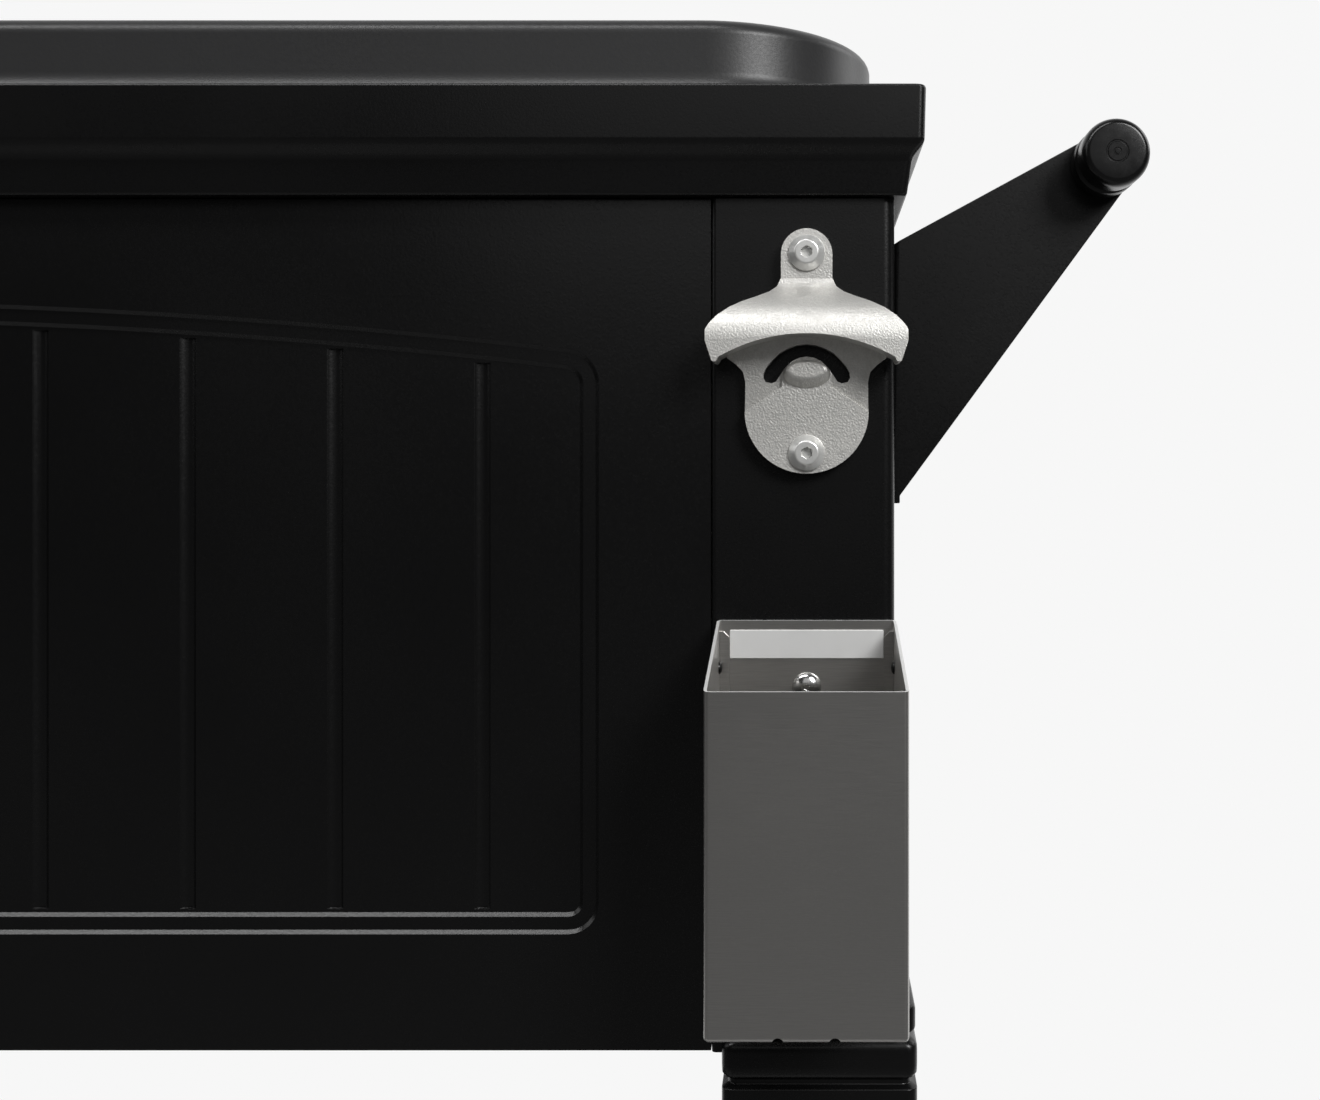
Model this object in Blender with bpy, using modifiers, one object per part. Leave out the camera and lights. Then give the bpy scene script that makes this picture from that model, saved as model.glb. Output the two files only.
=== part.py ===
"""Rolling patio cooler chest with two lids, legs on casters, push handle, bottle opener and cap catcher.

Metres, +Z up, the front faces -Y.  The floor is at Z = 0 and the origin is the middle of the
footprint's bounding box.  Heights of the chest's own parts are counted from the chest's underside.
"""
from math import atan2, cos, pi, radians, sin, sqrt, tan

import bmesh
import bpy
from mathutils import Matrix, Vector

# ---- driving dimensions -------------------------------------------------------------------------
GAP = 0.0003                  # clearance between neighbouring pieces
WELD = 0.00001                # distance at which doubled points are merged

CHEST_HALF_LENGTH = 0.396
CHEST_HALF_DEPTH = 0.200
CHEST_BOTTOM = 0.585          # height of the chest's underside above the floor
WALL_TOP = 0.2925             # where the cornice starts, above the underside
CORNICE_TOP = 0.329
LID_TOP = 0.3573

POST_WIDTH = 0.0627
POST_THICKNESS = 0.0065
PANEL_THICKNESS = 0.005
PANEL_SETBACK = 0.0015        # how far the panels lie behind the posts' faces
PAN_THICKNESS = 0.003
FIELD_MARGIN = 0.0385         # from a panel's edge to its recessed field
FIELD_LOW = 0.0398
FIELD_SHOULDER = 0.2396       # top of the field at its sides
FIELD_STEP = 0.0054           # width of the step round the field
STEP_DEPTH = 0.0013
GROOVE_PITCH = 0.0508
GROOVE_RADIUS = 0.0036
GROOVE_DEPTH = 0.0013

CORNICE_OVERHANG = 0.010
CORNICE_INNER = 0.0117        # how far the cornice reaches in over the walls
BASIN_HALF_LENGTH = 0.370
BASIN_HALF_DEPTH = 0.174
BASIN_FLOOR = 0.029
BASIN_RADIUS = 0.036
FLANGE_WIDTH = 0.0137

LID_INNER = 0.040             # from the chest's middle to a lid's inner edge
LID_OUTER = 0.390
LID_HALF_DEPTH = 0.194
LID_BOTTOM = 0.3297
LID_CORNERS = (0.060, 0.005)  # radii at a lid's outer and inner ends
HINGE_X = 0.034
HINGE_Z = 0.349
ROD_RADIUS = 0.003
KNUCKLE_RADIUS = 0.005
KNUCKLE_BORE = 0.0034
KNUCKLE_HALF = 0.178
BRIDGE_HALF_WIDTH = 0.028
BRIDGE_HALF_DEPTH = 0.190
LEDGE_HALF_WIDTH = 0.0585
BOW_REACH = 0.022             # from a lid's end to its bow handle
BOW_RADIUS = 0.004
BOW_HEIGHT = 0.342

LEG_HALF = 0.03315
LEG_PROUD = 0.0073            # how far a leg stands outside the chest's faces
LEG_BOTTOM = -0.485
LEG_WALL = 0.0035             # of the tube below the collar
SHAFT_FOOT = -0.415           # top of the foot block, where the shelf rests
STEM_RADIUS = 0.0055
STEM_BORE = 0.0062

WHEEL_RADIUS = 0.0375
WHEEL_HALF_WIDTH = 0.011
WHEEL_TRAIL = 0.025           # from the swivel axis to the wheel's axle
AXLE_RADIUS = 0.004
FORK_HALF_WIDTH = 0.0165
FORK_SLOT = 0.0125
FORK_TOP = 0.0995
BRAKE_PIVOT_X = 0.036
BRAKE_PIVOT_Z = 0.081

HANDLE_REACH = 0.0765         # from the chest's side to the push handle's axis
HANDLE_HEIGHT = 0.3086
BRACKET_SETBACK = 0.025       # from the chest's front face to the bracket's web
BRACKET_LOW = 0.187
BRACKET_HIGH = 0.280
BRACKET_TIP = 0.0113
SHEET = 0.003                 # bracket plate
BOLT_HEIGHTS = (0.2085, 0.2585)

FITTING_X = 0.3658            # middle of the opener and of the catcher
OPENER_SCREWS = (0.205, 0.2727)
CATCHER_HALF_WIDTH = 0.0306
CATCHER_DEPTH = 0.064
CATCHER_LOW = 0.0296
CATCHER_FRONT = 0.1339
CATCHER_BACK = 0.1479
CATCHER_SHEET = 0.001
CATCHER_SCREW = 0.1253

DRAIN_X = -0.290
DRAIN_Y = 0.105

ARC_STEPS = 3

# ---- worked out from them -----------------------------------------------------------------------
HANDLE_X = CHEST_HALF_LENGTH + HANDLE_REACH
LEG_X = CHEST_HALF_LENGTH + LEG_PROUD - LEG_HALF
LEG_Y = CHEST_HALF_DEPTH + LEG_PROUD - LEG_HALF
KNOB_RADIUS = 0.012
BOLT_Y = -CHEST_HALF_DEPTH + BRACKET_SETBACK + 0.018
SHIFT_X = (LID_OUTER + BOW_REACH + BOW_RADIUS - HANDLE_X - KNOB_RADIUS) / 2
SHIFT_Y = (GAP + CATCHER_DEPTH - CORNICE_OVERHANG) / 2
FOAM_HALF_LENGTH = CHEST_HALF_LENGTH - POST_THICKNESS - GAP
FOAM_HALF_DEPTH = CHEST_HALF_DEPTH - POST_THICKNESS - GAP
CORNERS = (("front_right", 1, -1, 0), ("back_right", 1, 1, 90), ("back_left", -1, 1, 180),
           ("front_left", -1, -1, 270))

# name: (red, green, blue), roughness, metallic
FINISHES = {
    "black_enamel": ((0.012, 0.012, 0.013), 0.38, 0.0),
    "black_frame": ((0.018, 0.018, 0.019), 0.42, 0.0),
    "cast_silver": ((0.62, 0.60, 0.57), 0.42, 1.0),
    "brushed_stainless": ((0.56, 0.55, 0.53), 0.28, 1.0),
    "zinc_steel": ((0.48, 0.48, 0.49), 0.35, 1.0),
    "basin_steel": ((0.55, 0.56, 0.57), 0.32, 1.0),
    "foam_white": ((0.80, 0.78, 0.70), 0.90, 0.0),
    "liner_plastic": ((0.70, 0.70, 0.69), 0.45, 0.0),
    "gasket_rubber": ((0.02, 0.02, 0.02), 0.75, 0.0),
    "wheel_rubber": ((0.03, 0.03, 0.032), 0.65, 0.0),
    "brake_plastic": ((0.25, 0.02, 0.02), 0.45, 0.0),
    "drain_plastic": ((0.03, 0.03, 0.03), 0.40, 0.0),
}


# ---- scene, materials and placing ---------------------------------------------------------------
for old in list(bpy.data.objects):
    bpy.data.objects.remove(old)
parts = bpy.data.collections.new("patio_cooler_chest")
bpy.context.scene.collection.children.link(parts)


def finish_material(piece, finish):
    """A piece's own Principled material in one of the object's finishes."""
    colour, roughness, metallic = FINISHES[finish]
    material = bpy.data.materials.new(f"{piece}_{finish}")
    material.use_nodes = True
    shader = material.node_tree.nodes["Principled BSDF"]
    shader.inputs["Base Color"].default_value = (*colour, 1.0)
    shader.inputs["Roughness"].default_value = roughness
    shader.inputs["Metallic"].default_value = metallic
    return material


def axis_empty(name, location, parent=None, turn=0.0):
    """An empty that places pieces, standing on their joint's axis where they move."""
    empty = bpy.data.objects.new(name, None)
    empty.location = location
    empty.rotation_euler.z = radians(turn)
    empty.parent = parent
    parts.objects.link(empty)
    return empty


def place(name, mesh, finish, parent, location=(0, 0, 0), turn=0.0):
    """Put a finished mesh in the model as a named piece."""
    piece = bpy.data.objects.new(name, mesh.copy())
    piece.data.materials.clear()
    piece.data.materials.append(finish_material(name, finish))
    piece.location = location
    piece.rotation_euler.z = radians(turn)
    piece.parent = parent
    parts.objects.link(piece)
    piece.data.shade_smooth()
    piece.data.set_sharp_from_angle(angle=radians(35))
    return piece


# ---- shapes -------------------------------------------------------------------------------------
def mesh_from(work):
    """Close a bmesh into a mesh: doubles merged, faces turned outwards."""
    bmesh.ops.remove_doubles(work, verts=work.verts, dist=WELD)
    bmesh.ops.recalc_face_normals(work, faces=work.faces)
    mesh = bpy.data.meshes.new("shape")
    work.to_mesh(mesh)
    work.free()
    return mesh


def baked(helper):
    """The mesh that an object has after its modifiers; the object itself is removed."""
    graph = bpy.context.evaluated_depsgraph_get()
    work = bmesh.new()
    work.from_mesh(bpy.data.meshes.new_from_object(helper.evaluated_get(graph)))
    bpy.data.objects.remove(helper)
    return mesh_from(work)


def helper_object(data):
    helper = bpy.data.objects.new("helper", data)
    bpy.context.scene.collection.objects.link(helper)
    return helper


def box(low, high):
    work = bmesh.new()
    low, high = Vector(low), Vector(high)
    place_box = Matrix.Translation((low + high) / 2) @ Matrix.Diagonal((*(high - low), 1))
    bmesh.ops.create_cube(work, size=1, matrix=place_box)
    return mesh_from(work)


def rod(start, end, radius, sides=12):
    """A cylinder from one point to another."""
    start, end = Vector(start), Vector(end)
    turn = (end - start).to_track_quat("Z", "Y").to_matrix().to_4x4()
    work = bmesh.new()
    bmesh.ops.create_cone(work, cap_ends=True, segments=sides, radius1=radius, radius2=radius,
                          depth=(end - start).length, matrix=Matrix.Translation((start + end) / 2) @ turn)
    return mesh_from(work)


def turned(profile, steps, axis="Z", location=(0, 0, 0), ring=False):
    """A lathe shape: profile points (radius, height) from the top down the outer side."""
    work = bmesh.new()
    points = [work.verts.new((radius, 0, height)) for radius, height in profile]
    pairs = list(zip(points, points[1:]))
    if ring:
        pairs.append((points[-1], points[0]))
    for first, second in pairs:
        work.edges.new((first, second))
    mesh = bpy.data.meshes.new("profile")
    work.to_mesh(mesh)
    work.free()
    helper = helper_object(mesh)
    screw = helper.modifiers.new("lathe", "SCREW")
    screw.steps = screw.render_steps = steps
    screw.use_merge_vertices = True
    screw.merge_threshold = WELD
    result = baked(helper)
    turns = {"Z": Matrix.Identity(4), "Y": Matrix.Rotation(pi / 2, 4, "X"),
             "-Y": Matrix.Rotation(-pi / 2, 4, "X"), "X": Matrix.Rotation(pi / 2, 4, "Y")}
    result.transform(Matrix.Translation(location) @ turns[axis])
    return result


def arc(centre, radius, start, end, steps=ARC_STEPS):
    """Points on an arc, angles in degrees."""
    angles = [radians(start + (end - start) * i / steps) for i in range(steps + 1)]
    return [(centre[0] + radius * cos(a), centre[1] + radius * sin(a)) for a in angles]


def rounded(corners, steps=ARC_STEPS):
    """Points of a path whose corners (x, y, radius) are rounded by arcs."""
    points = []
    for i, (x, y, radius) in enumerate(corners):
        if radius <= 0:
            points.append((x, y))
            continue
        corner = Vector((x, y))
        before = (Vector(corners[i - 1][:2]) - corner).normalized()
        after = (Vector(corners[(i + 1) % len(corners)][:2]) - corner).normalized()
        half = before.angle(after) / 2
        centre = corner + (before + after).normalized() * radius / sin(half)
        first = corner + before * radius / tan(half) - centre
        last = corner + after * radius / tan(half) - centre
        start = atan2(first.y, first.x)
        sweep = (atan2(last.y, last.x) - start + pi) % (2 * pi) - pi
        for k in range(steps + 1):
            angle = start + sweep * k / steps
            points.append((centre.x + radius * cos(angle), centre.y + radius * sin(angle)))
    return points


def plate(outline, low, high, plane="XY", holes=()):
    """A flat outline given thickness from low to high across its plane (XY, or XZ with y across)."""
    curve = bpy.data.curves.new("outline", "CURVE")
    curve.dimensions = "2D"
    curve.fill_mode = "BOTH"
    curve.extrude = (high - low) / 2
    for loop in (outline, *holes):
        spline = curve.splines.new("POLY")
        spline.points.add(len(loop) - 1)
        for point, (x, y) in zip(spline.points, loop):
            point.co = (x, y, 0, 1)
        spline.use_cyclic_u = True
    result = baked(helper_object(curve))
    result.transform(Matrix.Translation((0, 0, (low + high) / 2)))
    if plane == "XZ":
        result.transform(Matrix(((1, 0, 0, 0), (0, 0, 1, 0), (0, 1, 0, 0), (0, 0, 0, 1))))
        result.flip_normals()
    return result


def tube(points, radius):
    """A round bar along points, with closed ends."""
    curve = bpy.data.curves.new("bar", "CURVE")
    curve.dimensions = "3D"
    curve.bevel_depth = radius
    curve.bevel_resolution = 2
    curve.use_fill_caps = True
    spline = curve.splines.new("POLY")
    spline.points.add(len(points) - 1)
    for point, position in zip(spline.points, points):
        point.co = (*position, 1)
    return baked(helper_object(curve))


def rectangle(low, high, radii, grow=0.0):
    """Corners (x, y, radius) of a rectangle, moved outwards by grow."""
    smallest = 0.0004
    right_radius, left_radius = (max(radius + grow, smallest) for radius in radii)
    return [(high[0] + grow, high[1] + grow, right_radius), (low[0] - grow, high[1] + grow, left_radius),
            (low[0] - grow, low[1] - grow, left_radius), (high[0] + grow, low[1] - grow, right_radius)]


def stacked(outlines, ring=False):
    """A skin over outlines of equally many points.

    A ring joins its last outline to its first, and anything else gets a flat face at both ends.
    """
    work = bmesh.new()
    sections = [[work.verts.new(point) for point in outline] for outline in outlines]
    following = sections[1:] + ([sections[0]] if ring else [])
    for lower, upper in zip(sections, following):
        for i in range(len(lower)):
            work.faces.new((lower[i - 1], lower[i], upper[i], upper[i - 1]))
    if not ring:
        work.faces.new(sections[0])
        work.faces.new(sections[-1])
    return mesh_from(work)


def lofted(low, high, radii, profile, ring=False, steps=ARC_STEPS):
    """A rectangle with rounded corners swept through profile points (outward offset, height).

    radii are those of the corners at +X and at -X; a third number in a point is its own corner radius.
    """
    outlines = []
    for grow, height, *own in profile:
        corners = rectangle(low, high, [own[0] - grow] * 2 if own else radii, grow)
        outlines.append([(x, y, height) for x, y in rounded(corners, steps)])
    return stacked(outlines, ring)


def centred(half_x, half_y):
    return (-half_x, -half_y), (half_x, half_y)


def combined(mesh, others, operation):
    """Boolean of a mesh with other meshes."""
    body = helper_object(mesh)
    tools = [helper_object(other) for other in others]
    for tool in tools:
        modifier = body.modifiers.new("boolean", "BOOLEAN")
        modifier.operation = operation
        modifier.solver = "EXACT"
        modifier.object = tool
    result = baked(body)
    for tool in tools:
        bpy.data.objects.remove(tool)
    return result


def cut(mesh, *others):
    return combined(mesh, others, "DIFFERENCE")


def join(mesh, *others):
    return combined(mesh, others, "UNION")


def eased(mesh, chosen, width, segments=2):
    """Round the edges whose midpoint and direction pass the test."""
    work = bmesh.new()
    work.from_mesh(mesh)
    edges = [edge for edge in work.edges
             if chosen((edge.verts[0].co + edge.verts[1].co) / 2, edge.verts[1].co - edge.verts[0].co)]
    bmesh.ops.bevel(work, geom=edges, offset=width, segments=segments, profile=0.5, affect="EDGES")
    return mesh_from(work)


# ---- chest --------------------------------------------------------------------------------------
def post_mesh(holes=()):
    """A corner post of L section at the origin: the corner points to +X and -Y."""
    inner = POST_WIDTH - POST_THICKNESS
    edge = 0.0016
    outline = rounded([(0, 0, 0.004), (0, POST_WIDTH, edge), (-POST_THICKNESS, POST_WIDTH, 0),
                       (-POST_THICKNESS, POST_WIDTH - inner, 0), (-POST_WIDTH, POST_WIDTH - inner, 0),
                       (-POST_WIDTH, 0, edge)], 3)
    mesh = plate(outline, 0, WALL_TOP - GAP)
    return cut(mesh, *holes) if holes else mesh


def field_outline(half_width, rise, inset):
    """The recessed field of a panel: a rectangle whose top edge is an arc."""
    half = half_width - inset
    radius = (half_width ** 2 + rise ** 2) / (2 * rise)
    centre_z = FIELD_SHOULDER + rise - radius
    reach = radius - inset
    corner = sqrt(reach ** 2 - half ** 2) + centre_z
    rim = 0.0105 - inset * 0.7
    low = FIELD_LOW + inset
    angle = atan2(corner - centre_z, half)
    crown = arc((0, centre_z), reach, angle * 180 / pi, 180 - angle * 180 / pi, 10)[1:-1]
    corners = [(-half, low, rim), (half, low, rim), (half, corner, rim)]
    corners += [(x, z, 0) for x, z in crown]
    corners.append((-half, corner, rim))
    return rounded(corners, 4)


def panel_mesh(half_width, rise, grooves):
    """A wall panel facing -Y with its outer face at y = 0 and a grooved, arched field."""
    panel = box((-half_width, 0, 0), (half_width, PANEL_THICKNESS, WALL_TOP - GAP))
    panel = eased(panel, lambda mid, way: mid.y < GAP and abs(way.z) > 0.1, 0.0016)
    field_half = half_width - FIELD_MARGIN
    step_levels = ((0, -0.002), (0, STEP_DEPTH), (FIELD_STEP, STEP_DEPTH), (FIELD_STEP, 2 * STEP_DEPTH))
    field = stacked([[(x, level, z) for x, z in field_outline(field_half, rise, inset)]
                     for inset, level in step_levels])
    radius = (field_half ** 2 + rise ** 2) / (2 * rise) - FIELD_STEP
    arch_centre = FIELD_SHOULDER + rise - radius - FIELD_STEP
    centre_y = 2 * STEP_DEPTH + GROOVE_DEPTH - GROOVE_RADIUS
    flutes = []
    for i in range(-grooves, grooves + 1):
        x = i * GROOVE_PITCH
        top = arch_centre + sqrt(radius ** 2 - x ** 2) - 0.001
        flutes.append(rod((x, centre_y, FIELD_LOW + FIELD_STEP + 0.001), (x, centre_y, top), GROOVE_RADIUS, 8))
    return cut(cut(panel, field), *flutes)


def cornice_mesh():
    """The moulded frame on top of the walls: fascia, ogee and lower band."""
    fascia_low, ogee_low = 0.311, 0.3035
    fascia, band = CORNICE_OVERHANG - 0.0004, 0.0054
    ogee_steps = 6
    mouth = BASIN_RADIUS + CHEST_HALF_LENGTH - CORNICE_INNER - BASIN_HALF_LENGTH
    profile = [(-CORNICE_INNER, CORNICE_TOP, mouth), (CORNICE_OVERHANG - 0.001, CORNICE_TOP),
               (CORNICE_OVERHANG, CORNICE_TOP - 0.001)]
    for i in range(ogee_steps + 1):
        share = i / ogee_steps
        profile.append((fascia - (fascia - band) * (1 - cos(pi * share)) / 2,
                        fascia_low - (fascia_low - ogee_low) * share))
    profile += [(0.0040, WALL_TOP + 0.0008), (0.0033, WALL_TOP), (-CORNICE_INNER, WALL_TOP, mouth)]
    low, high = centred(CHEST_HALF_LENGTH, CHEST_HALF_DEPTH)
    return lofted(low, high, (0.003, 0.003), profile, ring=True, steps=3)


def basin_mesh():
    """The pressed basin: a flange at the top, drafted walls, a filleted floor with the drain hole."""
    floor, top = BASIN_FLOOR, CORNICE_TOP
    wall = 0.0015
    profile = [(-0.015, floor), (-0.008, floor + 0.0015), (-0.0042, floor + 0.006), (-0.003, floor + 0.012),
               (0, top - 0.004), (0.0006, top - 0.0012), (0.0024, top), (FLANGE_WIDTH, top),
               (FLANGE_WIDTH, top - 0.0017), (0.003, top - 0.0017), (wall, top - 0.004),
               (wall - 0.003, floor + 0.012), (-0.0028, floor + 0.005), (-0.007, floor - 0.0002),
               (-0.015, floor - 0.0017)]
    low, high = centred(BASIN_HALF_LENGTH, BASIN_HALF_DEPTH)
    basin = lofted(low, high, (BASIN_RADIUS, BASIN_RADIUS), profile)
    return cut(basin, rod((DRAIN_X, DRAIN_Y, 0), (DRAIN_X, DRAIN_Y, 0.05), 0.0098))


def foam_mesh():
    """The insulation between the walls and the basin, with the drain's channel."""
    pocket = FOAM_HALF_LENGTH - BASIN_HALF_LENGTH - 0.0015 - GAP
    step = FOAM_HALF_LENGTH - (CHEST_HALF_LENGTH - CORNICE_INNER - GAP)
    under_flange = CORNICE_TOP - 0.0017 - GAP
    mouth = BASIN_RADIUS + FOAM_HALF_LENGTH - BASIN_HALF_LENGTH
    profile = [(-pocket, BASIN_FLOOR - 0.002, mouth - pocket), (-pocket, under_flange - 0.0025, mouth - pocket),
               (-pocket + 0.0017, under_flange, mouth - pocket + 0.0017), (-step, under_flange, mouth - step),
               (-step, WALL_TOP - GAP, mouth - step), (0, WALL_TOP - GAP), (0, PAN_THICKNESS + GAP)]
    low, high = centred(FOAM_HALF_LENGTH, FOAM_HALF_DEPTH)
    foam = lofted(low, high, (0.002, 0.002), profile)
    return cut(foam, rod((DRAIN_X, DRAIN_Y, 0), (DRAIN_X, DRAIN_Y, 0.05), 0.0098))


def pan_mesh():
    """The plate that closes the chest from below."""
    plate_box = box((-FOAM_HALF_LENGTH, -FOAM_HALF_DEPTH, 0), (FOAM_HALF_LENGTH, FOAM_HALF_DEPTH, PAN_THICKNESS))
    return cut(plate_box, rod((DRAIN_X, DRAIN_Y, -0.01), (DRAIN_X, DRAIN_Y, 0.01), 0.0098))


def bridge_mesh():
    """The bar between the lids: it seals under their inner edges and holds the hinge rods."""
    half, end = BRIDGE_HALF_WIDTH, BRIDGE_HALF_DEPTH
    top, seat = HINGE_Z + 0.005, CORNICE_TOP
    mouth = BASIN_HALF_DEPTH - 0.002
    bar = box((-half, -end, seat + GAP), (half, end, top))
    keel = box((-half + 0.001, -mouth, seat - 0.0035), (half - 0.001, mouth, seat + 0.010))
    ledge = box((-LEDGE_HALF_WIDTH, -mouth, seat - 0.0035), (LEDGE_HALF_WIDTH, mouth, seat))
    additions, bores = [keel, ledge], []
    lug_inner = KNUCKLE_HALF + 0.003
    for x in (-HINGE_X, HINGE_X):
        for side in (-1, 1):
            near, far = sorted((side * lug_inner, side * (end - 0.0005)))
            additions.append(rod((x, near, HINGE_Z), (x, far, HINGE_Z), 0.0052))
            inner_x, outer_x = sorted((x, x / abs(x) * (half - 0.001)))
            additions.append(box((inner_x, near, HINGE_Z - 0.005), (outer_x, far, HINGE_Z + 0.0045)))
            bores.append(rod((x, side * 0.15, HINGE_Z), (x, side * 0.2, HINGE_Z), KNUCKLE_BORE))
    return cut(join(bar, *additions), *bores)


# ---- lid, modelled as the right one -------------------------------------------------------------
def lid_section(profile, ring=False):
    return lofted((LID_INNER, -LID_HALF_DEPTH), (LID_OUTER, LID_HALF_DEPTH), LID_CORNERS, profile, ring)


def lid_skin_mesh():
    """The deep-drawn cover with its rolled edge and the knuckle along its inner side."""
    top = LID_TOP
    profile = [(-0.060, top - 0.0013), (-0.0075, top - 0.0022), (-0.0034, top - 0.0036), (-0.0017, top - 0.007),
               (-0.0012, LID_BOTTOM), (0, LID_BOTTOM), (-0.0005, top - 0.0062), (-0.0012, top - 0.0034),
               (-0.0030, top - 0.0016), (-0.0065, top - 0.0008), (-0.060, top)]
    skin = lid_section(profile)
    knuckle = rod((HINGE_X, -KNUCKLE_HALF, HINGE_Z), (HINGE_X, KNUCKLE_HALF, HINGE_Z), KNUCKLE_RADIUS)
    web = box((HINGE_X + 0.004, -KNUCKLE_HALF, HINGE_Z - 0.002),
              (LID_INNER + 0.0010, KNUCKLE_HALF, HINGE_Z + 0.002))
    bore = rod((HINGE_X, -0.2, HINGE_Z), (HINGE_X, 0.2, HINGE_Z), KNUCKLE_BORE)
    return cut(join(skin, web, knuckle), bore)


def lid_liner_mesh():
    """The inner pan: a flange under the cover and a tub that drops into the basin's mouth."""
    flange, tub = CORNICE_TOP + 0.003, CORNICE_TOP - 0.013
    return lid_section([(-0.028, tub + 0.002), (-0.026, tub + 0.0035), (-0.026, flange + 0.002),
                        (-0.0017, flange + 0.002), (-0.0017, flange), (-0.024, flange),
                        (-0.024, tub + 0.002), (-0.0265, tub)])


def lid_foam_mesh():
    flange, tub = CORNICE_TOP + 0.003, CORNICE_TOP - 0.013
    return lid_section([(-0.0286, tub + 0.0025), (-0.0264, tub + 0.004), (-0.0264, flange + 0.0023),
                        (-0.0020, flange + 0.0023), (-0.0023, LID_TOP - 0.0078), (-0.0042, LID_TOP - 0.0044),
                        (-0.0085, LID_TOP - 0.0028)])


def lid_gasket_mesh():
    seat, flange = CORNICE_TOP + GAP, CORNICE_TOP + 0.0027
    return lid_section([(-0.0175, seat), (-0.0065, seat), (-0.0075, flange), (-0.0165, flange)], ring=True)


def lid_handle_mesh():
    """A bow handle on the lid's end, with round feet."""
    half, height, wall = 0.055, BOW_HEIGHT, LID_OUTER + GAP
    corners = [(wall, -half, 0), (LID_OUTER + BOW_REACH, -half, 0.012), (LID_OUTER + BOW_REACH, half, 0.012),
               (wall, half, 0)]
    bar = tube([(x, y, height) for x, y in rounded(corners)], BOW_RADIUS)
    feet = [rod((wall, y, height), (wall + 0.003, y, height), 0.007) for y in (-half, half)]
    return join(bar, *feet)


# ---- leg, caster, shelf -------------------------------------------------------------------------
def leg_mesh():
    """The front right leg about its own middle: collar round the chest's corner, tube, solid foot."""
    profile = [(-0.0016, 0.0179), (-0.0006, 0.0169), (-0.0006, 0.0100), (-0.0022, 0.0076), (-0.0002, 0.0059),
               (0.0000, 0.0056), (-0.0001, 0.0001), (-0.0002, -0.0052), (-0.0020, -0.0068), (0.0, -0.0096),
               (0.0, -0.0620), (-0.0020, -0.0640), (-0.0020, -0.0670), (-0.0040, -0.0690), (-0.0068, -0.0740),
               (-0.0075, -0.0800), (-0.0089, SHAFT_FOOT), (-0.0042, SHAFT_FOOT),
               (-0.0042, LEG_BOTTOM + 0.002), (-0.0062, LEG_BOTTOM)]
    low, high = centred(LEG_HALF, LEG_HALF)
    leg = lofted(low, high, (0.003, 0.003), profile, steps=1)
    corner = LEG_HALF - LEG_PROUD + GAP
    pocket = box((-0.05, -corner, -GAP), (corner, 0.05, 0.05))
    socket = rod((0, 0, LEG_BOTTOM - 0.01), (0, 0, LEG_BOTTOM + 0.040), STEM_BORE)
    tube_half = LEG_HALF - 0.0089 - LEG_WALL
    hollow = box((-tube_half, -tube_half, SHAFT_FOOT), (tube_half, tube_half, 0.01))
    return cut(cut(leg, pocket, socket), hollow)


def fork_mesh(braked):
    """Caster fork about its swivel axis on the floor: stem, raceway, crown and two cheeks."""
    half = FORK_HALF_WIDTH
    boss = arc((WHEEL_TRAIL, WHEEL_RADIUS), 0.009, -150, 20, 6)
    outline = [(-0.022, 0.090), (-0.022, 0.084), *boss, (BRAKE_PIVOT_X + 0.007, BRAKE_PIVOT_Z - 0.004),
               (BRAKE_PIVOT_X + 0.006, 0.090)]
    cheeks = plate(outline, -half, half, "XZ")
    slot = box((-0.05, -FORK_SLOT, 0), (0.08, FORK_SLOT, 0.0865))
    axle_hole = rod((WHEEL_TRAIL, -0.03, WHEEL_RADIUS), (WHEEL_TRAIL, 0.03, WHEEL_RADIUS), AXLE_RADIUS + GAP)
    cutters = [slot, axle_hole]
    if braked:
        cutters.append(rod((BRAKE_PIVOT_X, -0.03, BRAKE_PIVOT_Z), (BRAKE_PIVOT_X, 0.03, BRAKE_PIVOT_Z), 0.0022, 8))
        cutters.append(box((BRAKE_PIVOT_X - 0.006, -FORK_SLOT, 0.080), (0.08, FORK_SLOT, 0.1)))
    fork = cut(cheeks, *cutters)
    top = turned([(0, 0.1355), (STEM_RADIUS, 0.1345), (STEM_RADIUS, FORK_TOP), (0.020, FORK_TOP), (0.021, 0.0965),
                  (0.021, 0.0935), (0.019, 0.0885), (0, 0.0885)], 12)
    return join(fork, top)


def wheel_mesh():
    """Wheel about its axle: a rounded tread, a recessed disc and a hub."""
    half, radius, bore = WHEEL_HALF_WIDTH, WHEEL_RADIUS, AXLE_RADIUS + GAP
    side = [(bore, half), (0.011, half), (0.012, half - 0.004), (0.024, half - 0.004), (0.026, half - 0.0005),
            (radius - 0.004, half - 0.0005), (radius - 0.001, half - 0.0035), (radius, half - 0.0065)]
    profile = side + [(r, -h) for r, h in reversed(side)]
    return turned(profile, 20, "Y", ring=True)


def axle_mesh():
    """Axle bolt about the wheel's middle: a domed head, a shank and a nut end."""
    half = FORK_HALF_WIDTH + GAP
    return turned([(0, half + 0.0045), (0.004, half + 0.004), (0.007, half + 0.0015), (0.007, half),
                   (AXLE_RADIUS, half), (AXLE_RADIUS, -half), (0.0065, -half), (0.0065, -half - 0.0045),
                   (0, -half - 0.0045)], 8, "Y")


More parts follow.
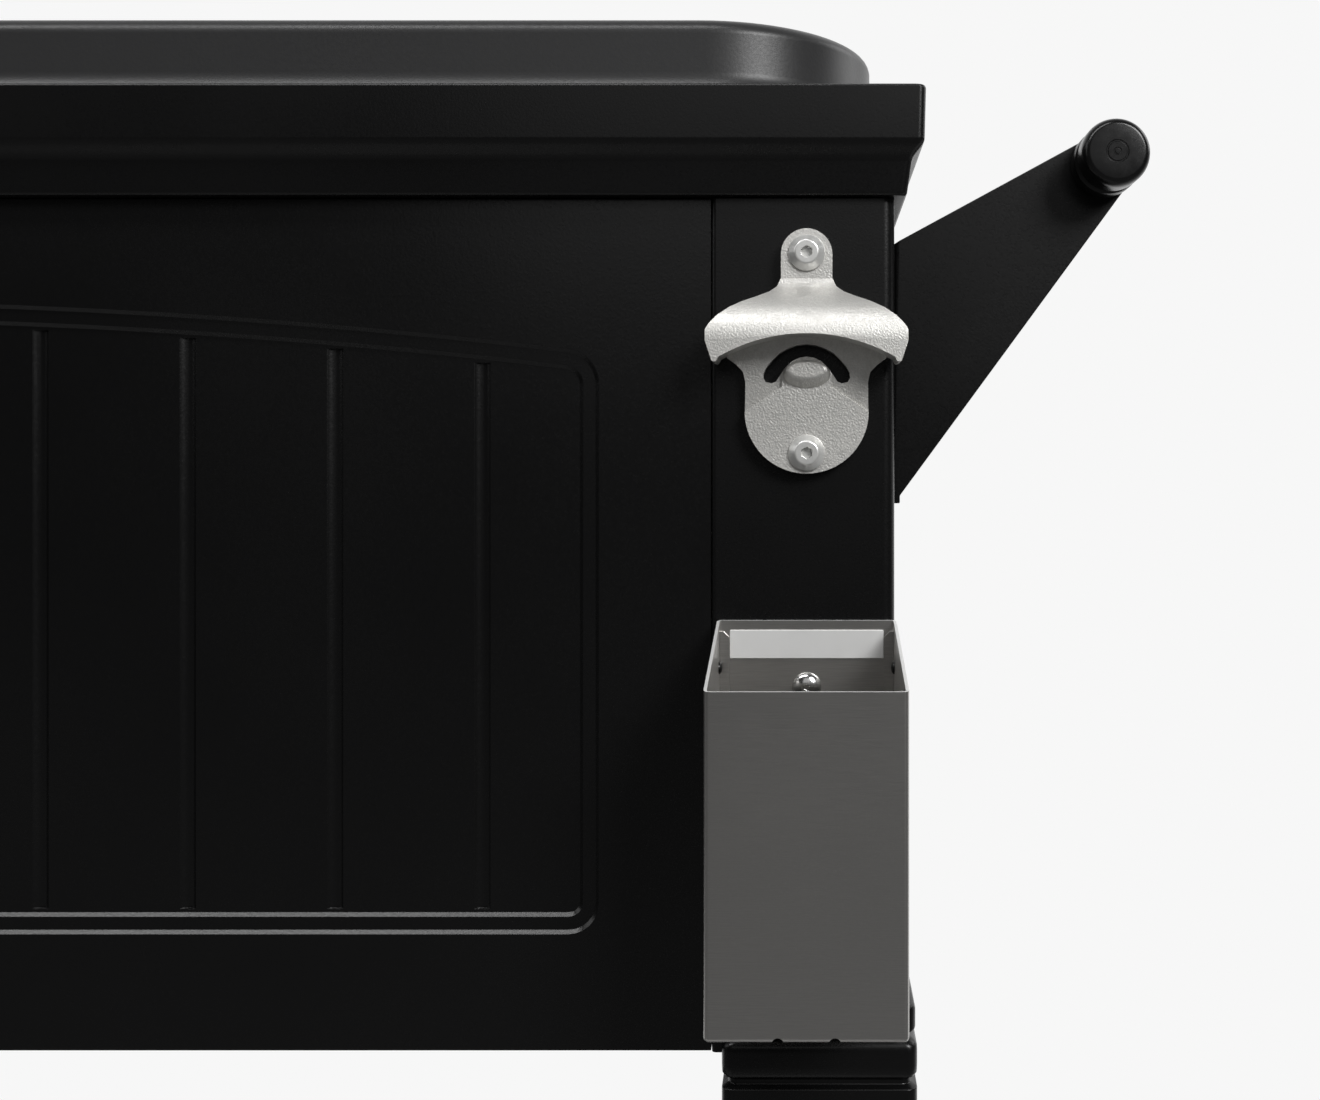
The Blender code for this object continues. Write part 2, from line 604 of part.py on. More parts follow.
def brake_mesh():
    """Toe brake about its pivot: a pedal over the wheel with a pad under it and a cross pin."""
    half = FORK_SLOT - 0.0007
    outline = rounded([(-0.0045, -0.0030, 0.002), (0.0100, -0.0030, 0), (0.0115, -0.0095, 0.001),
                       (0.0150, -0.0095, 0.001), (0.0165, -0.0035, 0), (0.038, -0.004, 0.001),
                       (0.040, 0.0005, 0.001), (0.016, 0.0045, 0.002), (-0.0045, 0.0045, 0.002)], 2)
    pedal = plate(outline, -half, half, "XZ")
    pin = rod((0, -FORK_HALF_WIDTH, 0), (0, FORK_HALF_WIDTH, 0), 0.0018, 8)
    return join(pedal, pin)


def shelf_mesh():
    """A tray with a raised rim, notched round the four legs and slotted to drain."""
    base = CHEST_BOTTOM + SHAFT_FOOT + GAP
    sheet, rim = 0.0015, 0.016
    profile = [(-0.006, base + sheet), (-0.003, base + 0.0028), (-sheet, base + 0.006), (-sheet, base + rim),
               (0, base + rim), (0, base + 0.005), (-0.002, base + 0.001), (-0.006, base)]
    half_x, half_y = LEG_X + 0.020, LEG_Y + 0.020
    low, high = centred(half_x, half_y)
    tray = lofted(low, high, (0.012, 0.012), profile)
    notch = LEG_HALF - 0.0089 + 0.0005
    notches = [box((sx * LEG_X - notch, sy * LEG_Y - notch, base - 0.01),
                   (sx * LEG_X + notch, sy * LEG_Y + notch, base + 0.03))
               for _, sx, sy, _ in CORNERS]
    outer = [box((min(sx * LEG_X, sx * 0.45), min(sy * LEG_Y, sy * 0.25), base - 0.01),
                 (max(sx * LEG_X, sx * 0.45), max(sy * LEG_Y, sy * 0.25), base + 0.03))
             for _, sx, sy, _ in CORNERS]
    slots = [box((-0.30, y - 0.006, base - 0.01), (0.30, y + 0.006, base + 0.01))
             for y in (-0.12, -0.072, -0.024, 0.024, 0.072, 0.12)]
    return cut(tray, *notches, *outer, *slots)


# ---- push handle --------------------------------------------------------------------------------
def tangent_angle(point, centre, radius, side):
    """Angle, in degrees, at which a line from point touches a circle."""
    away = Vector(point) - Vector(centre)
    spread = atan2(sqrt(away.length_squared - radius ** 2), radius)
    return (atan2(away.y, away.x) + side * spread) * 180 / pi


def bracket_mesh():
    """Front bracket: a tapering web behind the front face and a flange bent back on the side."""
    base = CHEST_HALF_LENGTH + GAP
    centre = (HANDLE_X, HANDLE_HEIGHT)
    lower = tangent_angle((base, BRACKET_LOW), centre, BRACKET_TIP, 1)
    upper = tangent_angle((base, BRACKET_HIGH), centre, BRACKET_TIP, -1)
    if upper < lower:
        upper += 360
    side_view = [(base, BRACKET_LOW), *arc(centre, BRACKET_TIP, lower, upper, 8), (base, BRACKET_HIGH)]
    front, reach = -CHEST_HALF_DEPTH + BRACKET_SETBACK, HANDLE_X + 2 * BRACKET_TIP
    bend = [(reach, front + SHEET, 0), (base + SHEET, front + SHEET, 0.0012), (base + SHEET, front + 0.030, 0),
            (base, front + 0.030, 0), (base, front, 0.0040), (reach, front, 0)]
    bent_sheet = plate(rounded(bend), BRACKET_LOW - 0.01, HANDLE_HEIGHT + 0.03)
    bracket = combined(bent_sheet, [plate(side_view, front - 0.01, front + 0.04, "XZ")], "INTERSECT")
    neck = rod((HANDLE_X, front - 0.01, HANDLE_HEIGHT), (HANDLE_X, front + 0.02, HANDLE_HEIGHT), 0.0063)
    holes = [rod((base - 0.01, front + 0.018, z), (base + 0.01, front + 0.018, z), 0.0024, 8)
             for z in BOLT_HEIGHTS]
    return cut(bracket, neck, *holes)


def bolt_mesh():
    """A domed bolt about the middle of its head's seat, pointing to -X."""
    return turned([(0, 0.0030), (0.0030, 0.0026), (0.0048, 0.0010), (0.0050, 0), (0.0020, 0),
                   (0.0020, -0.0085), (0, -0.0085)], 8, "X")


def handle_bar_mesh():
    """The bar between the webs, with a neck through each."""
    web = CHEST_HALF_DEPTH - BRACKET_SETBACK
    inner = web - SHEET - GAP
    return turned([(0, web + 0.008), (0.0060, web + 0.008), (0.0060, inner), (0.0110, inner), (0.0110, -inner),
                   (0.0060, -inner), (0.0060, -web - 0.008), (0, -web - 0.008)], 16, "Y")


def handle_end_mesh():
    """The turned end outside a web, about its seat: two rings with a groove between, a flat face."""
    length = BRACKET_SETBACK - 0.0015
    return turned([(0, length), (0.0090, length), (0.0108, length - 0.0007), (0.0118, length - 0.0025),
                   (0.0118, length - 0.0105), (0.0112, length - 0.0120), (0.0095, length - 0.0128),
                   (0.0095, length - 0.0148), (0.0114, length - 0.0154), (KNOB_RADIUS, length - 0.0168),
                   (KNOB_RADIUS, 0.0012), (0.0114, 0), (0.0063, 0), (0.0063, 0.0088), (0, 0.0088)], 16, "Y")


# ---- bottle opener and cap catcher --------------------------------------------------------------
def opener_mesh():
    """Cast opener on the post: tab, hood, throat with its slot, lifting lug and lower disc."""
    face, front = -GAP, -0.0052
    disc_z, disc_r = 0.2190, 0.0210
    throat, tab, tab_top = 0.0205, 0.0087, 0.2810
    right = [*arc((0, disc_z), disc_r, -90, 0, 8), (throat, 0.2275), (0.0195, 0.2350), (0.0235, 0.2390),
             (0.0290, 0.2410), (0.0325, 0.2425), (0.0332, 0.2470), (0.0300, 0.2515), (0.0220, 0.2565),
             (0.0130, 0.2590), (tab, 0.2625), *arc((0, tab_top - tab), tab, 0, 90, 5)]
    outline = right + [(-x, z) for x, z in reversed(right[1:-1])]
    hood_low = arc((0, 0.2140), 0.0300, 130, 50, 8)
    slot_top, slot_low = arc((0, 0.2255), 0.0163, 160, 20, 10), arc((0, 0.2235), 0.0140, 25, 155, 10)
    body = plate(outline, front, face, "XZ", holes=[slot_top + slot_low])
    wing = [(0.0332, 0.2460), (0.0290, 0.2520), (0.0215, 0.2560), (0.0120, 0.2580)]
    hood_outline = hood_low + [(0.0310, 0.2385)] + wing + [(-x, z) for x, z in reversed(wing)] + [(-0.0310, 0.2385)]
    hood = plate(hood_outline, -0.0200, -0.0040, "XZ")
    slope = box((-0.05, -0.05, 0), (0.05, 0, 0.05))
    slope.transform(Matrix.Translation((0, -0.0075, 0.2600)) @ Matrix.Rotation(radians(38), 4, "X"))
    lug_outline = arc((0, 0.2285), 0.0085, 20, 160, 6) + [(-0.0085, 0.2260), (0.0085, 0.2260)]
    lug = plate(lug_outline, -0.0110, -0.0040, "XZ")
    screws = [rod((0, -0.02, z), (0, 0.01, z), 0.0028, 12) for z in OPENER_SCREWS]
    return cut(join(body, cut(hood, slope), lug), *screws)


def opener_screw_mesh():
    """Conical button-head screw about its seat, pointing into the post, with a hex socket."""
    screw = turned([(0, 0.0030), (0.0039, 0.0030), (0.0062, 0.0004), (0.0062, 0), (0.0025, 0),
                    (0.0025, -0.0100), (0, -0.0100)], 12, "Y")
    return cut(screw, rod((0, -0.004, 0), (0, -0.0012, 0), 0.0023, 6))


def catcher_mesh():
    """Cap catcher about the middle of its back: an open box of thin sheet with a slanting rim."""
    half, depth, sheet = CATCHER_HALF_WIDTH, CATCHER_DEPTH, CATCHER_SHEET
    rise = (CATCHER_BACK - CATCHER_FRONT) / depth
    low, high = (-half, -depth), (half, 0)
    tall = CATCHER_BACK + 0.01
    profile = [(-0.003 - sheet, CATCHER_LOW + sheet), (-sheet - 0.0006, CATCHER_LOW + 0.0022),
               (-sheet, CATCHER_LOW + 0.004), (-sheet, tall), (0, tall), (0, CATCHER_LOW + 0.003),
               (-0.0008, CATCHER_LOW + 0.0010), (-0.003, CATCHER_LOW)]
    catcher = lofted(low, high, (0.0022, 0.0022), profile, steps=3)
    above = box((-0.05, -0.1, 0), (0.05, 0.03, 0.05))
    above.transform(Matrix.Translation((0, 0, CATCHER_BACK)) @ Matrix.Rotation(atan2(rise, 1), 4, "X"))
    drains = [rod((x, -depth - 0.01, CATCHER_LOW), (x, -depth + 0.006, CATCHER_LOW), 0.0017, 8)
              for x in (-0.0085, 0.0085)]
    screw_hole = rod((0, -0.01, CATCHER_SCREW), (0, 0.01, CATCHER_SCREW), 0.0022, 12)
    return cut(catcher, above, *drains, screw_hole)


def catcher_screw_mesh():
    """Dome-head screw about its seat."""
    return turned([(0, 0.0024), (0.0028, 0.0020), (0.0046, 0.0008), (0.0050, 0), (0.0018, 0),
                   (0.0018, -0.0062), (0, -0.0062)], 8, "Y")


# ---- drain --------------------------------------------------------------------------------------
def drain_spout_mesh():
    """Spout about its axis: a flange on the basin's floor, a tube down through the chest's bottom."""
    flange = BASIN_FLOOR + GAP
    return turned([(0.0070, flange + 0.0020), (0.0160, flange + 0.0014), (0.0160, flange), (0.0095, flange),
                   (0.0095, -0.0245), (0.0070, -0.0245)], 12, ring=True)


def drain_cap_mesh():
    """Screw cap below the nut: a round cup with four grip wings."""
    cup = turned([(0, -0.0090), (0.0135, -0.0090), (0.0140, -0.0100), (0.0140, -0.0280), (0.0125, -0.0295),
                  (0, -0.0295)], 16)
    wings = [box((-0.0175, -0.0015, -0.0280), (0.0175, 0.0015, -0.0110)),
             box((-0.0015, -0.0175, -0.0280), (0.0015, 0.0175, -0.0110))]
    hollow = rod((0, 0, -0.0265), (0, 0, 0), 0.0104)
    return cut(join(cup, *wings), hollow)


# ---- build --------------------------------------------------------------------------------------
floor_frame = axis_empty("floor_frame", (SHIFT_X, SHIFT_Y, 0))
chest = axis_empty("chest_frame", (0, 0, CHEST_BOTTOM), floor_frame)

long_panel = panel_mesh(CHEST_HALF_LENGTH - POST_WIDTH - GAP, 0.0180, 5)
side_panel = panel_mesh(CHEST_HALF_DEPTH - POST_WIDTH - GAP, 0.0110, 1)
panel_y = CHEST_HALF_DEPTH - PANEL_SETBACK
panel_x = CHEST_HALF_LENGTH - PANEL_SETBACK
place("front_panel", long_panel, "black_enamel", chest, (0, -panel_y, 0))
place("back_panel", long_panel, "black_enamel", chest, (0, panel_y, 0), 180)
place("right_panel", side_panel, "black_enamel", chest, (panel_x, 0, 0), 90)
place("left_panel", side_panel, "black_enamel", chest, (-panel_x, 0, 0), 270)

bolt_inset = CHEST_HALF_DEPTH + BOLT_Y
rear_holes = [rod((-bolt_inset, 0.006, z), (-bolt_inset, -0.01, z), 0.0024, 8) for z in BOLT_HEIGHTS]
side_holes = [rod((-0.006, bolt_inset, z), (0.01, bolt_inset, z), 0.0024, 8) for z in BOLT_HEIGHTS]
fitting = FITTING_X - CHEST_HALF_LENGTH
face_holes = [rod((fitting, -0.01, z), (fitting, 0.0062, z), 0.0029, 8) for z in OPENER_SCREWS]
face_holes.append(rod((fitting, -0.01, CATCHER_SCREW), (fitting, 0.0062, CATCHER_SCREW), 0.0022, 8))
plain_post = post_mesh()
posts = {"front_right": post_mesh(side_holes + face_holes), "back_right": post_mesh(rear_holes),
         "back_left": plain_post, "front_left": plain_post}
for corner_name, side_x, side_y, quarter in CORNERS:
    place(f"corner_post_{corner_name}", posts[corner_name], "black_frame", chest,
          (side_x * CHEST_HALF_LENGTH, side_y * CHEST_HALF_DEPTH, 0), quarter)

place("cornice_frame", cornice_mesh(), "black_frame", chest)
place("bottom_pan", pan_mesh(), "black_enamel", chest)
place("basin", basin_mesh(), "basin_steel", chest)
place("foam_jacket", foam_mesh(), "foam_white", chest)
place("centre_bridge", bridge_mesh(), "black_frame", chest)

lid_pieces = (("skin", lid_skin_mesh(), "black_enamel"), ("liner", lid_liner_mesh(), "liner_plastic"),
              ("foam", lid_foam_mesh(), "foam_white"), ("gasket", lid_gasket_mesh(), "gasket_rubber"),
              ("handle", lid_handle_mesh(), "brushed_stainless"))
hinge_rod = rod((0, -BRIDGE_HALF_DEPTH, 0), (0, BRIDGE_HALF_DEPTH, 0), ROD_RADIUS, 12)
for side_name, direction, half_turn in (("right", 1, 0), ("left", -1, 180)):
    hinge = axis_empty(f"lid_{side_name}_hinge", (direction * HINGE_X, 0, HINGE_Z), chest, half_turn)
    for piece_name, mesh, finish in lid_pieces:
        place(f"lid_{side_name}_{piece_name}", mesh, finish, hinge, (-HINGE_X, 0, -HINGE_Z))
    place(f"hinge_rod_{side_name}", hinge_rod, "zinc_steel", hinge)

leg = leg_mesh()
forks = {True: fork_mesh(True), False: fork_mesh(False)}
wheel, axle, brake = wheel_mesh(), axle_mesh(), brake_mesh()
for corner_name, side_x, side_y, quarter in CORNERS:
    braked = side_y < 0
    place(f"leg_{corner_name}", leg, "black_frame", chest, (side_x * LEG_X, side_y * LEG_Y, 0), quarter)
    swivel = axis_empty(f"caster_{corner_name}_swivel", (side_x * LEG_X, side_y * LEG_Y, 0), floor_frame)
    place(f"caster_{corner_name}_fork", forks[braked], "zinc_steel", swivel)
    hub = axis_empty(f"caster_{corner_name}_hub", (WHEEL_TRAIL, 0, WHEEL_RADIUS), swivel)
    place(f"caster_{corner_name}_wheel", wheel, "wheel_rubber", hub)
    place(f"caster_{corner_name}_axle", axle, "zinc_steel", hub)
    if braked:
        place(f"caster_{corner_name}_brake", brake, "brake_plastic", swivel, (BRAKE_PIVOT_X, 0, BRAKE_PIVOT_Z))
place("shelf", shelf_mesh(), "black_enamel", floor_frame)

bracket, bolt, handle_end = bracket_mesh(), bolt_mesh(), handle_end_mesh()
mirrored = bracket.copy()
mirrored.transform(Matrix.Diagonal((1, -1, 1, 1)))
mirrored.flip_normals()
web_y = CHEST_HALF_DEPTH - BRACKET_SETBACK
place("handle_bar", handle_bar_mesh(), "black_frame", chest, (HANDLE_X, 0, HANDLE_HEIGHT))
for end_name, end_side, bracket_shape in (("front", -1, bracket), ("rear", 1, mirrored)):
    place(f"handle_bracket_{end_name}", bracket_shape, "black_frame", chest)
    place(f"handle_end_{end_name}", handle_end, "black_frame", chest,
          (HANDLE_X, end_side * (web_y + GAP), HANDLE_HEIGHT), 0 if end_side < 0 else 180)
    for level, height in zip(("lower", "upper"), BOLT_HEIGHTS):
        place(f"bracket_bolt_{end_name}_{level}", bolt, "black_frame", chest,
              (CHEST_HALF_LENGTH + SHEET + 2 * GAP, -end_side * BOLT_Y, height))

front_face = -CHEST_HALF_DEPTH
place("bottle_opener", opener_mesh(), "cast_silver", chest, (FITTING_X, front_face, 0))
for level, height in zip(("lower", "upper"), OPENER_SCREWS):
    place(f"opener_screw_{level}", opener_screw_mesh(), "brushed_stainless", chest,
          (FITTING_X, front_face - 0.0055, height))
place("cap_catcher", catcher_mesh(), "brushed_stainless", chest, (FITTING_X, front_face - GAP, 0))
place("catcher_screw", catcher_screw_mesh(), "brushed_stainless", chest,
      (FITTING_X, front_face - CATCHER_SHEET - 2 * GAP, CATCHER_SCREW))

drain = axis_empty("drain_axis", (DRAIN_X, DRAIN_Y, 0), chest)
place("drain_spout", drain_spout_mesh(), "drain_plastic", drain)
place("drain_cap", drain_cap_mesh(), "drain_plastic", drain)
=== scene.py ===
from math import cos, pi, radians, sin, sqrt

import bmesh
import bpy
from mathutils import Matrix, Vector


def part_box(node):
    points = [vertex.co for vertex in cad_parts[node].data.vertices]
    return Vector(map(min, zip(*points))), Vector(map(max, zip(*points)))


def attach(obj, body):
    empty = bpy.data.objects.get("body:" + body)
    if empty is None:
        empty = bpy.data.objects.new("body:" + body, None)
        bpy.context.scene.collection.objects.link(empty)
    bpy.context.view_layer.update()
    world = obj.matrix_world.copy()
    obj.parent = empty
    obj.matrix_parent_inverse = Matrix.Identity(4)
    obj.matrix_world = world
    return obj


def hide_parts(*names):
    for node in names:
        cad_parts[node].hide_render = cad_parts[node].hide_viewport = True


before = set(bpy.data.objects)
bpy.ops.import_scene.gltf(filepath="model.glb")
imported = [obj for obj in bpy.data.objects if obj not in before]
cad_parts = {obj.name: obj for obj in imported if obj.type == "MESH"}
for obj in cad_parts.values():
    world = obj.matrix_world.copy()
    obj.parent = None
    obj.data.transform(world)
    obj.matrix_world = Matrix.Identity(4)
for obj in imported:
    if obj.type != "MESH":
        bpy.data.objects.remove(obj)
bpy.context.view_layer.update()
panLow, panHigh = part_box("bottom_pan")
middle = Vector(((panLow.x + panHigh.x) / 2, (panLow.y + panHigh.y) / 2, panLow.z))  # under the chest
corners = (("front_right", 0), ("back_right", 90), ("back_left", 180), ("front_left", 270))
print("frame loaded")


# modelling by hand, in code


def deselectAll():
    if bpy.context.object and bpy.context.object.mode != "OBJECT":
        bpy.ops.object.mode_set(mode="OBJECT")
    bpy.ops.object.select_all(action="DESELECT")


def useOnly(piece):
    deselectAll()
    piece.select_set(True)
    bpy.context.view_layer.objects.active = piece


def edit(piece):
    useOnly(piece)
    bpy.ops.object.mode_set(mode="EDIT")
    bpy.ops.mesh.select_all(action="SELECT")


def pick(piece, kind, test):
    # selects the points, edges or faces whose place and direction pass the test
    bpy.ops.mesh.select_mode(type=kind)
    bpy.ops.mesh.select_all(action="DESELECT")
    work = bmesh.from_edit_mesh(piece.data)
    if kind == "FACE":
        chosen = [face for face in work.faces if test(face.calc_center_median(), face.normal)]
    elif kind == "EDGE":
        chosen = [edge for edge in work.edges
                  if test((edge.verts[0].co + edge.verts[1].co) / 2, edge.verts[1].co - edge.verts[0].co)]
    else:
        chosen = [point for point in work.verts if test(point.co, point.normal)]
    for item in chosen:
        item.select_set(True)
    bmesh.update_edit_mesh(piece.data)


def closeUp():
    # merge doubles, turn faces outwards, back to object mode
    bpy.ops.mesh.select_mode(type="VERT")
    bpy.ops.mesh.select_all(action="SELECT")
    bpy.ops.mesh.remove_doubles(threshold=0.00001)
    bpy.ops.mesh.normals_make_consistent(inside=False)
    bpy.ops.object.mode_set(mode="OBJECT")


def addBlock(name, low, high):
    deselectAll()
    low, high = Vector(low), Vector(high)
    bpy.ops.mesh.primitive_cube_add(size=1, location=(low + high) / 2, scale=high - low)
    block = bpy.context.object
    block.name = name
    bpy.ops.object.transform_apply()
    return block


def addDisc(name, centre, radius, towards, sides=48):
    deselectAll()
    turn = Vector(towards).to_track_quat("Z", "Y").to_euler()
    bpy.ops.mesh.primitive_circle_add(vertices=sides, radius=radius, fill_type="NGON", location=centre,
                                      rotation=turn)
    disc = bpy.context.object
    disc.name = name
    bpy.ops.object.transform_apply()
    return disc


def extrudeBy(step):
    bpy.ops.mesh.extrude_region_move(TRANSFORM_OT_translate={"value": step})


def turnPiece(name, centre, towards, profile, sides=48):
    # a disc raised and scaled step by step along its axis, as on a lathe: (radius, height)
    centre, towards = Vector(centre), Vector(towards)
    radius, height = profile[0]
    piece = addDisc(name, centre + towards * height, radius, towards, sides)
    edit(piece)
    for nextRadius, nextHeight in profile[1:]:
        extrudeBy(towards * (nextHeight - height))
        share = nextRadius / radius
        bpy.ops.transform.resize(value=(share, share, share), center_override=centre + towards * nextHeight)
        radius, height = nextRadius, nextHeight
    closeUp()
    return piece


def addRounded(name, low, high, radii, height, steps=8):
    # a flat rectangle with rounded corners, radii at its right and left ends; left in edit mode
    deselectAll()
    middleX, middleY = (low[0] + high[0]) / 2, (low[1] + high[1]) / 2
    bpy.ops.mesh.primitive_plane_add(size=1, location=(middleX, middleY, height))
    piece = bpy.context.object
    piece.name = name
    piece.scale = (high[0] - low[0], high[1] - low[1], 1)
    bpy.ops.object.transform_apply()
    edit(piece)
    for radius, side in zip(radii, (1, -1)):
        pick(piece, "VERT",
             lambda place, normal: (place.x - (low[0] if side < 0 else high[0])) * side > -0.00001)
        bpy.ops.mesh.bevel(offset=radius, segments=steps, affect="VERTICES", clamp_overlap=False)
    bpy.ops.mesh.select_mode(type="FACE")
    bpy.ops.mesh.select_all(action="SELECT")
    return piece


def around(halfX, halfY):
    return (middle.x - halfX, middle.y - halfY), (middle.x + halfX, middle.y + halfY)


def raisePiece(name, low, high, radii, profile, steps=8):
    # a rounded rectangle raised step by step: (outward offset, height over the underside); left in edit mode
    profile = [(offset, height + middle.z) for offset, height in profile]
    offset, height = profile[0]
    piece = addRounded(name, (low[0] - offset, low[1] - offset), (high[0] + offset, high[1] + offset), radii,
                       height, steps)
    sizeX, sizeY = high[0] - low[0], high[1] - low[1]
    centre = Vector(((low[0] + high[0]) / 2, (low[1] + high[1]) / 2, height))
    for nextOffset, nextHeight in profile[1:]:
        extrudeBy((0, 0, nextHeight - height))
        centre.z = nextHeight
        shareX = (sizeX + 2 * nextOffset) / (sizeX + 2 * offset)
        shareY = (sizeY + 2 * nextOffset) / (sizeY + 2 * offset)
        bpy.ops.transform.resize(value=(shareX, shareY, 1), center_override=centre)
        offset, height = nextOffset, nextHeight
    return piece


def drawnPlate(name, outline, near, far, holes=()):
    # an outline drawn in the front view and given thickness from y = near to y = far
    deselectAll()
    curve = bpy.data.curves.new(name, "CURVE")
    curve.dimensions, curve.fill_mode = "2D", "BOTH"
    curve.extrude = (far - near) / 2
    for loop in (outline, *holes):
        spline = curve.splines.new("POLY")
        spline.points.add(len(loop) - 1)
        for point, (x, z) in zip(spline.points, loop):
            point.co = (x, z, 0, 1)
        spline.use_cyclic_u = True
    drawing = bpy.data.objects.new(name, curve)
    bpy.context.scene.collection.objects.link(drawing)
    drawing.rotation_euler.x = pi / 2
    drawing.location.y = (near + far) / 2
    useOnly(drawing)
    bpy.ops.object.convert(target="MESH")
    bpy.ops.object.transform_apply()
    piece = bpy.context.object
    edit(piece)
    closeUp()
    return piece


def useModifier(piece, kind, **settings):
    useOnly(piece)
    modifier = piece.modifiers.new(kind.title(), kind)
    for key, value in settings.items():
        setattr(modifier, key, value)
    bpy.ops.object.modifier_apply(modifier=modifier.name)
    return piece


def joinTo(piece, *others):
    useOnly(piece)
    for other in others:
        other.select_set(True)
    bpy.ops.object.join()
    return piece


def combine(piece, tool, operation="DIFFERENCE"):
    useModifier(piece, "BOOLEAN", operation=operation, solver="EXACT", object=tool, use_self=True)
    bpy.data.objects.remove(tool)
    return piece


def copyTurned(piece, name, degrees=0, pivot=middle, mirror=False):
    # a copy with its own mesh, turned about an upright axis or mirrored from front to back
    copy = bpy.data.objects.new(name, piece.data.copy())
    bpy.context.scene.collection.objects.link(copy)
    flip = Matrix.Diagonal((1, -1, 1, 1)) if mirror else Matrix.Rotation(radians(degrees), 4, "Z")
    copy.matrix_world = Matrix.Translation(pivot) @ flip @ Matrix.Translation(-pivot)
    useOnly(copy)
    bpy.ops.object.transform_apply()
    if mirror:
        edit(copy)
        closeUp()
    return copy


def soften(piece, width=0.0006, segments=3, angle=30, smooth=35, clamp=True):
    # small rounds on the sharp edges, flat faces kept flat
    if width:
        useModifier(piece, "BEVEL", width=width, segments=segments, limit_method="ANGLE",
                    angle_limit=radians(angle), use_clamp_overlap=clamp)
    useOnly(piece)
    bpy.ops.object.shade_smooth_by_angle(angle=radians(smooth))
    useModifier(piece, "WEIGHTED_NORMAL", keep_sharp=True, weight=50)
    return piece


def finishPiece(piece, body, slot, finish, *nodes):
    piece.data.materials.clear()
    piece.data.materials.append(finish)
    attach(piece, body)
    if nodes:
        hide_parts(*nodes)
    return piece


def arcPoints(centre, radius, start, end, steps):
    angles = [radians(start + (end - start) * i / steps) for i in range(steps + 1)]
    return [(centre[0] + radius * cos(a), centre[1] + radius * sin(a)) for a in angles]


def at(x, y, z):
    return middle + Vector((x, y, z))


# finishes

finishes = {
    "lidEnamel": {"colour": (0.029, 0.029, 0.0297), "other": (0.023, 0.023, 0.0236), "rough": (0.32, 0.41),
                  "grain": 900, "depth": 0.00003, "patch": 14, "shine": 0.38},
    "panelEnamel": {"colour": (0.0026, 0.0026, 0.0027), "other": (0.0040, 0.0040, 0.0041),
                    "rough": (0.21, 0.29), "grain": 1100, "depth": 0.00003, "patch": 9, "shine": 0.45},
    "frameEnamel": {"colour": (0.0030, 0.0030, 0.0031), "other": (0.0044, 0.0044, 0.0045),
                    "rough": (0.25, 0.33), "grain": 1300, "depth": 0.00003, "patch": 12, "shine": 0.34},
    "glossEnamel": {"colour": (0.0040, 0.0040, 0.0041), "other": (0.0055, 0.0055, 0.0056),
                    "rough": (0.20, 0.28), "grain": 500, "depth": 0.00001, "patch": 30, "shine": 0.35},
    "castMetal": {"colour": (0.88, 0.87, 0.84), "other": (0.50, 0.49, 0.465), "rough": (0.34, 0.52),
                  "metal": 0.72, "grain": 1500, "depth": 0.00014, "patch": 420, "streaks": 0.5},
    # painted highlight and painted reflection: a pale plate finish for the catcher's upward rim faces and its
    # backing strip
    "brightPlate": {"colour": (0.90, 0.90, 0.89), "other": (0.80, 0.80, 0.79), "rough": (0.35, 0.45),
                    "metal": 0.35, "grain": 300, "depth": 0.00001, "patch": 60},
    "screwSteel": {"colour": (0.88, 0.88, 0.86), "other": (0.80, 0.80, 0.78), "rough": (0.28, 0.38),
                   "metal": 0.65, "grain": 1500, "depth": 0.00001, "patch": 200},
    "brushedSteel": {"colour": (0.86, 0.845, 0.82), "other": (0.38, 0.37, 0.355), "rough": (0.28, 0.36),
                     "metal": 1.0, "grain": 110, "depth": 0.000006, "patch": 16, "stretch": (1, 30, 30),
                     "streaks": 0.55},
    "polishedSteel": {"colour": (0.72, 0.72, 0.71), "other": (0.64, 0.64, 0.63), "rough": (0.12, 0.20),
                      "metal": 1.0, "grain": 900, "depth": 0.00001, "patch": 60},
    "zincPlate": {"colour": (0.56, 0.56, 0.57), "other": (0.46, 0.46, 0.48), "rough": (0.30, 0.44),
                  "metal": 1.0, "grain": 700, "depth": 0.00002, "patch": 90},
    "basinSteel": {"colour": (0.66, 0.67, 0.68), "other": (0.58, 0.59, 0.60), "rough": (0.26, 0.38),
                   "metal": 1.0, "grain": 50, "depth": 0.00001, "patch": 12, "stretch": (1, 30, 30)},
    "linerPlastic": {"colour": (0.72, 0.72, 0.71), "other": (0.68, 0.68, 0.66), "rough": (0.40, 0.52),
                     "grain": 800, "depth": 0.00003, "patch": 20},
    "paleFoam": {"colour": (0.80, 0.78, 0.70), "other": (0.70, 0.67, 0.58), "rough": (0.85, 0.95),
                 "grain": 350, "depth": 0.00060, "patch": 60},
    "gasketRubber": {"colour": (0.018, 0.018, 0.018), "other": (0.026, 0.026, 0.026), "rough": (0.68, 0.80),
                     "grain": 900, "depth": 0.00004, "patch": 70},
    "wheelRubber": {"colour": (0.026, 0.026, 0.027), "other": (0.045, 0.044, 0.042), "rough": (0.58, 0.76),
                    "grain": 1200, "depth": 0.00006, "patch": 60},
    "brakePlastic": {"colour": (0.30, 0.022, 0.020), "other": (0.24, 0.018, 0.016), "rough": (0.38, 0.50),
                     "grain": 900, "depth": 0.00004, "patch": 80},
    "drainPlastic": {"colour": (0.022, 0.022, 0.022), "other": (0.032, 0.032, 0.032), "rough": (0.38, 0.52),
                     "grain": 900, "depth": 0.00004, "patch": 80},
}


